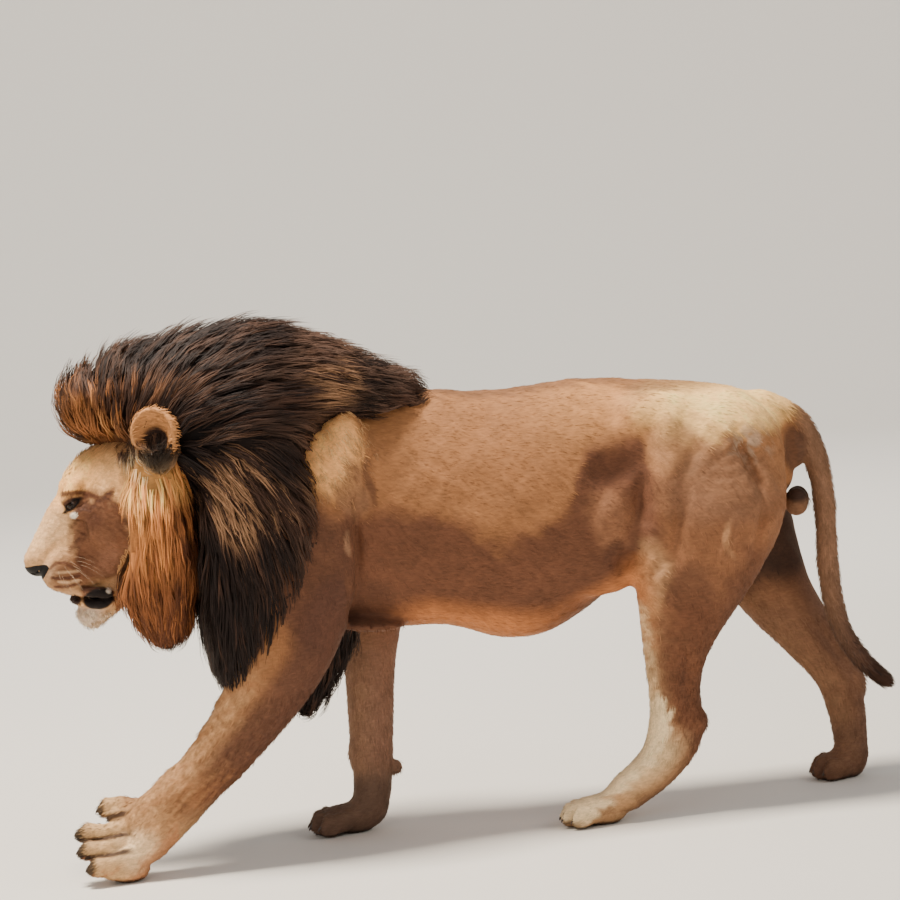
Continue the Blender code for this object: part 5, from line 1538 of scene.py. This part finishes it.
def nose_pad(body):
    """The bare skin of the nose, a little proud of the coat, with its nostrils."""
    form = Form()
    low, high = head_point(0.26, -0.015) - 0.07, head_point(0.26, -0.015) + 0.07
    form.add((lambda p: body.at(p.reshape(-1, 3)).reshape(p.shape[:-1]) - 0.0016, low, high), 0.0001)
    form.cut((lambda p: -nose_wedge(p.reshape(-1, 3)).reshape(p.shape[:-1]), low, high), 0.002)
    points, quads = form.mesh(low, high, 0.0016)
    obj = mesh_object("nose_pad", points, triangles(quads))
    grained = 1 + 0.2 * waves(points, 0.006, 9)
    paint(obj.data, grained[:, None] * colour(11, 8, 8))
    return obj


def claws(leg):
    """The four claws of a paw, hooked and flat-sided."""
    long = PAWS[leg].radii[0]
    around, rings = 8, 7
    turn = np.linspace(0, 2 * math.pi, around, endpoint=False)
    every, faces = [], []
    for number, (at, axes) in enumerate(toe_frames(leg)):
        ahead, side, up = axes.T
        t = np.linspace(0, 1, rings)
        bend = t * 1.05
        reach, drop = np.sin(bend) / 1.05, (1 - np.cos(bend)) / 1.05
        base = at + ahead * (long - 0.016) + up * 0.004
        for r in range(rings):
            middle = base + ahead * reach[r] * 0.026 - up * drop[r] * 0.024
            middle[2] = max(middle[2], 0.004)
            size = 0.0066 * (1 - t[r]) ** 0.7 + 0.0004
            across = up * np.cos(bend[r]) + ahead * np.sin(bend[r])
            flat = np.sin(turn)[:, None] * side * size * 0.6
            every.append(middle + np.cos(turn)[:, None] * across * size + flat)
        faces.append(swept(rings, around, number * around * rings))
    points, quads = np.concatenate(every), np.concatenate(faces)
    points[:, 2] = np.maximum(points[:, 2], 0.0006)
    obj = mesh_object("claws_" + leg, points, triangles(quads))
    shade = np.tile(np.repeat(np.linspace(0, 1, rings), around), 4)
    paint(obj.data, mix(np.tile(colour(30, 23, 20), (len(points), 1)), colour(74, 60, 50), shade))
    return obj


def whiskers():
    """White whiskers from the pads, thin and drooping."""
    roots, ways = [], []
    for side in (-1, 1):
        for row in range(3):
            for place in range(4):
                a, b = 0.222 - 0.016 * place, -0.045 - 0.012 * row
                roots.append(head_point(a, b, side * (0.058 + 0.004 * place)))
                way = (-0.15 + 0.2 * place, side * (1.0 - 0.1 * place), -0.1 - 0.15 * row)
                ways.append(HEAD_TURN @ np.array(way))
    roots, ways = np.array(roots), unit(np.array(ways))
    n = len(roots)
    long = RNG.uniform(0.06, 0.085, n)[:, None]
    t = np.linspace(0, 1, 6)
    paths = np.stack([roots + ways * long * s + np.array((0.25, 0, -0.45)) * long * s * s for s in t], 1)
    side = np.repeat(unit(np.cross(ways, (0, 0, 1.0)))[:, None], 5, 1)
    lift = np.repeat(unit(np.cross(side[:, 0], ways))[:, None], 5, 1)
    tint = np.tile(colour(186, 162, 134), (n, 6, 1))
    taper = np.array((1.0, 0.85, 0.7, 0.5, 0.3))
    return locks("whiskers", paths, (side, lift), np.full(n, 0.0005), np.full(n, 0.0004), tint,
                 unwrap(roots, ways), taper, 1.5)


# ---------------------------------------------------------------- studio

CAMERA_TURN, CAMERA_RISE, CAMERA_ROLL = -7.0, 5.0, 5.0  # degrees
CAMERA_AIM, CAMERA_FAR, CAMERA_LENS = (0.0, 0.0, 0.925), 7.5, 124.48
FLOOR_TURNS = 96  # points round the floor


def camera():
    """The photograph's view: from the left, a little above, and rolled."""
    view = bpy.data.objects.new("camera", bpy.data.cameras.new("camera"))
    bpy.context.scene.collection.objects.link(view)
    turn, rise, roll = (math.radians(a) for a in (CAMERA_TURN, CAMERA_RISE, CAMERA_ROLL))
    back = np.array((math.sin(turn) * math.cos(rise), -math.cos(turn) * math.cos(rise), math.sin(rise)))
    right = np.array((math.cos(turn), math.sin(turn), 0.0))
    up = np.cross(back, right)
    right, up = right * math.cos(roll) - up * math.sin(roll), up * math.cos(roll) + right * math.sin(roll)
    at = np.array(CAMERA_AIM) + SHIFT + back * CAMERA_FAR
    view.matrix_world = Matrix([[*row, place] for row, place in zip(np.stack((right, up, back), 1), at)]
                               + [[0, 0, 0, 1]])
    view.data.sensor_width = 36
    view.data.lens = CAMERA_LENS
    bpy.context.scene.camera = view


def area_light(name, at, aim, size, power, tint):
    """A rectangular light that faces a point."""
    lamp = bpy.data.lights.new(name, "AREA")
    lamp.shape, lamp.size, lamp.size_y = "RECTANGLE", size[0], size[1]
    lamp.energy, lamp.color = power, tint
    obj = bpy.data.objects.new(name, lamp)
    bpy.context.scene.collection.objects.link(obj)
    obj.location = at
    obj.rotation_euler = (Vector(aim) - Vector(at)).to_track_quat("-Z", "Y").to_euler()


def lights():
    """Warm sun from above, soft fill from the left, a rim light, a lit backdrop and a pale sky."""
    area_light("key", (-1.7, -0.2, 5.4), (-0.1, 0, 0.5), (1.3, 1.3), 660, (1.0, 0.91, 0.78))
    area_light("fill", (-3.5, -5.5, 2.6), (0, 0, 0.6), (3.5, 2.5), 62, (1.0, 0.96, 0.92))
    area_light("rim", (4.0, -3.0, 3.4), (0, 0, 0.7), (2.5, 1.5), 60, (1.0, 0.96, 0.9))
    area_light("backdrop", (0.0, 4.0, 6.5), (0, 13, 1.5), (6.0, 3.0), 900, (1.0, 0.96, 0.9))
    world = bpy.data.worlds.new("studio")
    bpy.context.scene.world = world
    world.use_nodes = True
    shade = world.node_tree.nodes["Background"]
    shade.inputs["Color"].default_value = (0.93, 0.95, 1.0, 1)
    shade.inputs["Strength"].default_value = 0.42


def studio_floor():
    """A round floor that curves up into a backdrop well outside the camera."""
    profile = [(0.0, 0.0), (3.0, 0.0), (6.0, 0.0), (10.0, 0.0)]
    profile += [(10 + 5 * math.sin(t), 5 - 5 * math.cos(t)) for t in np.linspace(0.1, math.pi / 2, 12)]
    profile.append((15.0, 9.0))
    turns = np.linspace(0, 2 * math.pi, FLOOR_TURNS, endpoint=False)
    rings = np.array([[(r * math.cos(t), r * math.sin(t), z) for t in turns] for r, z in profile[1:]])
    points = np.concatenate((np.zeros(3), rings.reshape(-1))).reshape(-1, 3)
    k = np.arange(FLOOR_TURNS)
    middle = np.stack((k * 0, 1 + k, 1 + (k + 1) % FLOOR_TURNS), 1)
    faces = np.concatenate((middle, triangles(swept(len(rings), FLOOR_TURNS, 1))))
    floor = mesh_object("floor", points - SHIFT * (1, 1, 0), faces)
    made = bpy.data.materials.new("floor")
    made.use_nodes = True
    shader = made.node_tree.nodes["Principled BSDF"]
    shader.inputs["Base Color"].default_value = (0.8, 0.76, 0.7, 1)
    shader.inputs["Roughness"].default_value = 0.9
    floor.data.materials.append(made)


# ---------------------------------------------------------------- pieces

def finish_piece(obj, material, slot, *nodes):
    """Gives a piece its material, hides the parts of the imported model that it stands for, and hangs it from
    the root. The slot is not used.
    """
    obj.data.materials.append(material)
    if nodes:
        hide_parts(*nodes)
    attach(obj, "root")


# ---------------------------------------------------------------- the skin

# Folds and bumps of the skin: height, size and seed, how much closer they lie along x and z, and
# where they are: place (x, z) and reach (x, z)
BUMPS = [
    (0.0034, 0.036, 22, 1.0, 1.0, 0.44, 0.6, 0.1, 0.13),
    (0.0016, 0.034, 23, 0.5, 1.6, 0.47, 0.44, 0.12, 0.22),
    (0.0026, 0.03, 24, 1.0, 1.0, -0.62, 0.3, 0.22, 0.24),
    (0.002, 0.03, 25, 1.0, 1.0, 0.66, 0.86, 0.13, 0.12),
    (0.0012, 0.034, 26, 1.0, 0.4, -0.28, 0.95, 0.14, 0.18),
]


def relief(p):
    """How far folds and small bumps of the skin stand out, in metres."""
    flat = p * (1, 0, 1)
    made = 0.0016 * waves(p, 0.085, 21) * fade(p[:, 2], 0.45, 0.6) * (p[:, 0] > -0.4)
    for height, size, seed, dense_x, dense_z, x, z, reach_x, reach_z in BUMPS:
        place = near(flat, (x, 0, z), (reach_x, 1, reach_z))
        made += height * waves(p * (dense_x, 1, dense_z), size, seed) * place
    made += 0.0007 * waves(p, 0.022, 27) * near_face(p)
    return made


def vertex_normals(points, faces):
    """The normal at each point, from the faces around it."""
    a, b, c = (points[faces[:, i]] for i in range(3))
    lean = np.cross(b - a, c - a)
    made = [sum(np.bincount(faces[:, i], lean[:, k], len(points)) for i in range(3)) for k in range(3)]
    return unit(np.stack(made, 1))


def near_face(p):
    """Whether points lie on the face, in front of the ears."""
    q = (p - HEAD_AT) @ np.stack((-HEAD_TURN[:, 0], HEAD_TURN[:, 1], HEAD_TURN[:, 2]), 1)
    return (q[:, 0] > -0.03) & (q[:, 2] < 0.11) & (p[:, 0] < -0.72)


def near_paws(p):
    """Whether points lie on the paws, one of which is lifted."""
    return (p[:, 2] < 0.075) | ((p[:, 2] < 0.15) & (p[:, 0] < -0.8))


def near_eyes(p):
    """Whether points lie close to an eye."""
    return sum(np.linalg.norm(p - eye_frame(side)[0], axis=1) < 0.034 for side in (-1, 1)) > 0


def skin_mesh(form):
    """The body's surface, finer on the face and paws, and finest round the eyes."""
    points, quads = form.mesh((-1.08, -0.29, -0.02), (1.09, 0.29, 1.16), GRAIN)
    points = form.settle(points, 1)
    points, fours, threes = refine(points, quads, lambda p: near_face(p) | near_paws(p))
    points = form.settle(points)
    points, more, extra = refine(points, fours, near_eyes)
    threes = np.concatenate((threes, extra)) if len(extra) else threes
    points = form.settle(points)
    return points, triangles(more, threes)


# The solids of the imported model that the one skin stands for
FLESH = ["abdomen", "chest", "hindquarters", "face", "jaw", "head", "ear_left", "ear_right", "scrotum",
         "tail_base", "tail_middle"]
FLESH += [f"{part}_{side}" for side in ("left", "right") for part in
          ("upper_arm", "forearm", "thigh", "shank", "metatarsus", "paw_fore", "paw_hind")]
Skin = namedtuple("Skin", "points faces normals")
ON_FLOOR = 0.0004  # the lowest point of the skin


def skin_piece(form):
    """The one skin of the whole body. The coat grows from its points, faces and normals."""
    points, faces = skin_mesh(form)
    points = points + form.slope(points) * relief(points)[:, None]
    points[:, 2] = np.maximum(points[:, 2], ON_FLOOR)
    normals = vertex_normals(points, faces)
    skin = mesh_object("skin", points, faces)
    paint(skin.data, coat_colour(points, normals))
    finish_piece(skin, SHORT, "fur_tawny", *FLESH)
    return Skin(points, faces, normals)


SHORT = hair_material("short_fur", None, (60, 260, 200), 1.0, 4.0, (0.82, 1.15), (0.5, 0.0012))
STREAKS = ("Strand", (5.0, 0.6, 1.0), 1.6, 3.0)
FUR = hair_material("fur", *STREAKS, (0.65, 1.35), (0.25, 0.001))
MANE = hair_material("mane_hair", *STREAKS, (0.55, 1.45), (0.25, 0.001), 0.62, 0.04)
BODY = lion_form()
SKIN = skin_piece(BODY)
MANE_SHELL, MANE_CORE = mane_form(0.0), mane_form(0.045)
RUFF_SHELL, RUFF_CORE = ruff_form(0.0), ruff_form(0.028)
MANE_WOOL = underwool("mane_underwool", MANE_CORE, (-1.0, -0.27, 0.38), (0.0, 0.27, 1.3), 0.01,
                      "mane", 0.5, "mane_dark")
RUFF_WOOL = underwool("ruff_underwool", RUFF_CORE, (-0.85, -0.23, 0.5), (-0.6, 0.23, 1.08), 0.008,
                      "ruff", 0.75, "mane_gold")


# ---------------------------------------------------------------- mane, ruff, tufts and fringes

def skin_roots(count, form, deep, beyond):
    """Roots on the skin where it lies inside a form by deep or more, and outside its wool."""
    spots, _ = scatter(SKIN.points, SKIN.faces, count, lambda p: (form.at(p) < -deep).astype(float))
    return spots[beyond.at(spots) > 0.002]


def mane():
    """The outer locks of the mane, in pieces that each stay within the limit of triangles."""
    roots, _ = scatter(*MANE_WOOL, 4000)
    roots = roots[BODY.at(roots) > -0.006]
    roots = np.concatenate((roots, skin_roots(1500, MANE_SHELL, 0.006, MANE_CORE)))
    roots = roots[np.linalg.norm(roots - head_point(0.08, 0.045), axis=1) > 0.122]
    crest = roots[:, 0] < -0.66
    plume = (roots[:, 0] > -0.36) & (roots[:, 2] > 0.9)
    chest = (roots[:, 2] < 0.74) & (roots[:, 0] > -0.66)
    neck, left = ~(crest | plume | chest), roots[:, 1] < 0
    parts = [("mane_crest", crest, ["mane_crest"]), ("mane_plume", plume, ["mane_plume"]),
             ("mane_chest", chest, ["mane_chest"]), ("mane_neck_left", neck & left, ["neck"]),
             ("mane_neck_right", neck & ~left, [])]
    for name, chosen, nodes in parts:
        made = mane_piece(name, roots[chosen], MANE_SHELL, "mane", 7, 0.0037, (-0.03, 0.004))
        finish_piece(made, MANE, "mane_dark", *nodes)


# The front edge of the ruff: z and x
RUFF_EDGE = ((0.56, -0.77), (0.62, -0.808), (0.66, -0.815), (0.71, -0.806), (0.757, -0.795), (0.8, -0.768),
             (0.85, -0.758), (0.9, -0.764), (0.96, -0.77))


def ruff():
    """The golden ruff that hangs from the ears, on both sides."""
    roots, _ = scatter(*RUFF_WOOL, 1500, lambda p: 1 + 2.0 * (p[:, 2] < 0.68))
    roots = np.concatenate((roots, skin_roots(600, RUFF_SHELL, -0.01, RUFF_CORE)))
    roots = roots[(roots[:, 0] > np.interp(roots[:, 2], *zip(*RUFF_EDGE))) & (roots[:, 0] < -0.6)]
    under_ear = np.hypot((roots[:, 0] + 0.715) / 0.04, (roots[:, 2] - 1.01) / 0.05) < 1
    roots = roots[(roots[:, 2] < 0.985) & ~under_ear]
    for name, chosen, nodes in (("left", roots[:, 1] < 0, ["ruff"]), ("right", roots[:, 1] > 0, [])):
        made = mane_piece("ruff_" + name, roots[chosen], RUFF_SHELL, "ruff", 7, 0.0041, (-0.014, 0.002),
                          dark_root=1.0, catch=0.32)
        finish_piece(made, MANE, "mane_gold", *nodes)


def tassel(name, node, comb, make, inset, low, high, grain, count, strands, width, slack, spread):
    """A tuft of long hair that fills the form that make(inset) gives."""
    spots, quads = make(inset).mesh(low, high, grain)
    roots, _ = scatter(spots, triangles(quads), count)
    made = mane_piece(name, roots, make(0.0), comb, strands, width, slack, spread)
    finish_piece(made, MANE, "mane_dark", node)


def fringe(name, comb, count, where, strands, width, slack, slot, spread=0.006, dark_root=0.92, vary=1.0):
    """Longer hair that grows from the skin where() is above 0."""
    roots, _ = scatter(SKIN.points, SKIN.faces, count, where)
    made = mane_piece(name, roots, BODY, comb, strands, width, slack, spread, dark_root, vary)
    finish_piece(made, MANE, slot)


def on_chin(p):
    """The skin below the lips."""
    u, v = on_mouth(*on_head(p)[:2])
    return ((u > -0.07) & (v < -0.026) & (p[:, 0] < -0.8) & (p[:, 2] > 0.5)).astype(float)


def on_cheek(p):
    """A strip of skin along the front edge of the ruff."""
    gap = p[:, 0] - np.interp(p[:, 2], *zip(*RUFF_EDGE)) + 0.004
    beside = (np.abs(p[:, 1]) > 0.03) & (p[:, 2] > 0.6) & (p[:, 2] < 0.98)
    return ((np.abs(gap) < 0.014) & beside).astype(float)


def on_shoulder(p):
    """The shoulder's sunlit patch, painted pale, behind the mane."""
    gap = np.hypot((p[:, 0] + 0.285) / 0.11, (p[:, 2] - 0.945) / 0.15)
    return (1 - fade(gap, 0.3, 1.0)) * (np.abs(p[:, 1]) > 0.08)


def on_ear(p):
    """The lower part of each ear's cup."""
    made = np.zeros(len(p))
    for side in (-1, 1):
        at, axes = ear_axes(side)
        q = (p - at) @ axes
        low = np.hypot((q[:, 0] - 0.006) / 0.044, (q[:, 1] + 0.033) / 0.045) < 1
        made += low * (q[:, 2] > -0.03) * (q[:, 2] < 0.02) * (1 + 2.0 * (q[:, 1] < -0.02))
    return made


def by_ear(p):
    """The skin in front of and below the ears."""
    gap = np.hypot((p[:, 0] + 0.762) / 0.034, (p[:, 2] - 0.995) / 0.045)
    return ((gap < 1) & (np.abs(p[:, 1]) > 0.06)).astype(float)


def tassels():
    """The long tufts of the brisket and tail."""
    tassel("brisket_tuft", "brisket_fringe", "brisket", brisket_form, 0.015, (-0.45, -0.08, 0.3),
           (-0.25, 0.08, 0.6), 0.008, 160, 8, 0.0034, (-0.01, 0.006), 0.01)
    tassel("tail_tuft_hair", "tail_tuft", "tail", tail_form, 0.006, (0.93, -0.05, 0.2),
           (1.06, 0.05, 0.38), 0.005, 130, 6, 0.0028, (-0.006, -0.001), 0.004)


def fringes():
    """The longer hair of chin, cheeks, shoulders and ears."""
    fringe("chin", "chin", 130, on_chin, 6, 0.0018, (0.0, 0.003), "fur_tawny", vary=0.5)
    fringe("cheek", "cheek", 300, on_cheek, 5, 0.002, (0.0, 0.003), "fur_tawny", spread=0.004, vary=0.35)
    fringe("shoulder", "shoulder", 240, on_shoulder, 5, 0.0017, (-0.001, 0.0005), "fur_tawny", spread=0.01,
           dark_root=1.0, vary=0.3)
    fringe("ear", "ear", 300, on_ear, 6, 0.002, (0.002, 0.016), "mane_dark")
    fringe("by_ear", "ear", 130, by_ear, 6, 0.0022, (0.004, 0.02), "mane_dark")


# ---------------------------------------------------------------- short coat

def on_trunk(p):
    """The body above the legs."""
    return ((p[:, 2] > 0.42) & (p[:, 0] > -0.6) & ~((p[:, 0] > 0.8) & (p[:, 2] < 0.93))).astype(float)


def on_legs(p):
    """The legs, more closely at the paws."""
    low = p[:, 2] <= 0.42
    return (low & ~((p[:, 0] > 0.86) & (np.abs(p[:, 1]) < 0.05))) * (1 + 2.0 * near_paws(p))


def on_tail(p):
    """The tail."""
    front = np.interp(p[:, 2], (0.2, 0.5, 0.86, 0.95), (0.9, 0.875, 0.87, 0.8))
    return ((p[:, 0] > front) & (p[:, 2] < 0.96) & (np.abs(p[:, 1]) < 0.05)).astype(float)


def on_head_skin(p):
    """The head, more closely on the face."""
    return ((p[:, 0] < -0.6) & (p[:, 2] > 0.5)) * (1.0 + near_face(p))


def trunk_free(p):
    """Whether the coat of the trunk would show there, outside the mane."""
    return (MANE_SHELL.at(p) > -0.055) & (RUFF_SHELL.at(p) > -0.02)


def face_free(p):
    """Whether hair grows there: not on lips, nose and lids, nor deep under the mane."""
    clear = (bare_lips(*on_head(p)[:2]) < 0.2) & (nose_wedge(p) > 0.002)
    for side in (-1, 1):
        at, axes = eye_frame(side)
        q = (p - at) @ axes
        clear &= (np.hypot(q[:, 0] / 0.0235, q[:, 1] / 0.0115) > 1.0) | (q[:, 2] < 0)
    return clear & (MANE_SHELL.at(p) > -0.03)


def grow(low, high, share):
    """A size of hair that goes from low to high as share(places) goes from 0 to 1."""
    return lambda p: low + (high - low) * share(p)


def up_leg(p):
    """From 0 at the paws to 1 above them."""
    return fade(p[:, 2], 0.05, 0.2)


def off_face(p):
    """0 on the face and 1 elsewhere."""
    return 1 - near_face(p)


def even(p):
    """0 everywhere."""
    return np.zeros(len(p))


# The short coat: number of tufts, length, width and lift of one, each at least and at most,
# where they grow larger, where they root, and where they are left out
COATS = [
    ("coat_trunk", 19000, (0.018, 0.018), (0.0024, 0.0024), (0.0009, 0.0009), even, on_trunk, trunk_free),
    ("coat_legs", 17000, (0.009, 0.018), (0.0018, 0.0026), (0.0012, 0.002), up_leg, on_legs, None),
    ("coat_tail", 2600, (0.018, 0.018), (0.003, 0.003), (0.0035, 0.0035), even, on_tail, None),
    ("coat_head", 17000, (0.0065, 0.0165), (0.0018, 0.0028), (0.0015, 0.0035), off_face, on_head_skin,
     face_free),
]


def short_coat():
    """Tufts over the whole skin, smallest on the face and feet."""
    for name, count, length, width, lift, share, where, keep in COATS:
        sizes = [grow(*size, share) for size in (length, width, lift)]
        finish_piece(body_tufts(name, SKIN, count, *sizes, where, keep), FUR, "fur_tawny")


# ---------------------------------------------------------------- everything, in order

def details():
    """Eyes, nose, claws and whiskers."""
    gloss = plain_material("eye_gloss", 0.1, shine=0.22)
    leather = plain_material("nose_leather", 0.6, 0.2, 700.0, shine=0.25)
    horn = plain_material("claw_horn", 0.35, 0.2, 900.0)
    for side, name in ((-1, "left"), (1, "right")):
        finish_piece(eyeball("eyeball_" + name, side), gloss, "eye", "eye_" + name)
    finish_piece(nose_pad(BODY), leather, "nose_pad", "nose")
    for leg in LEGS:
        finish_piece(claws(leg), horn, "claw", *[f"claw_{leg}_{number}" for number in range(1, 5)])
    finish_piece(whiskers(), plain_material("whisker", 0.4), "mane_gold")


mane()
ruff()
tassels()
fringes()
short_coat()
details()
camera()
lights()
studio_floor()
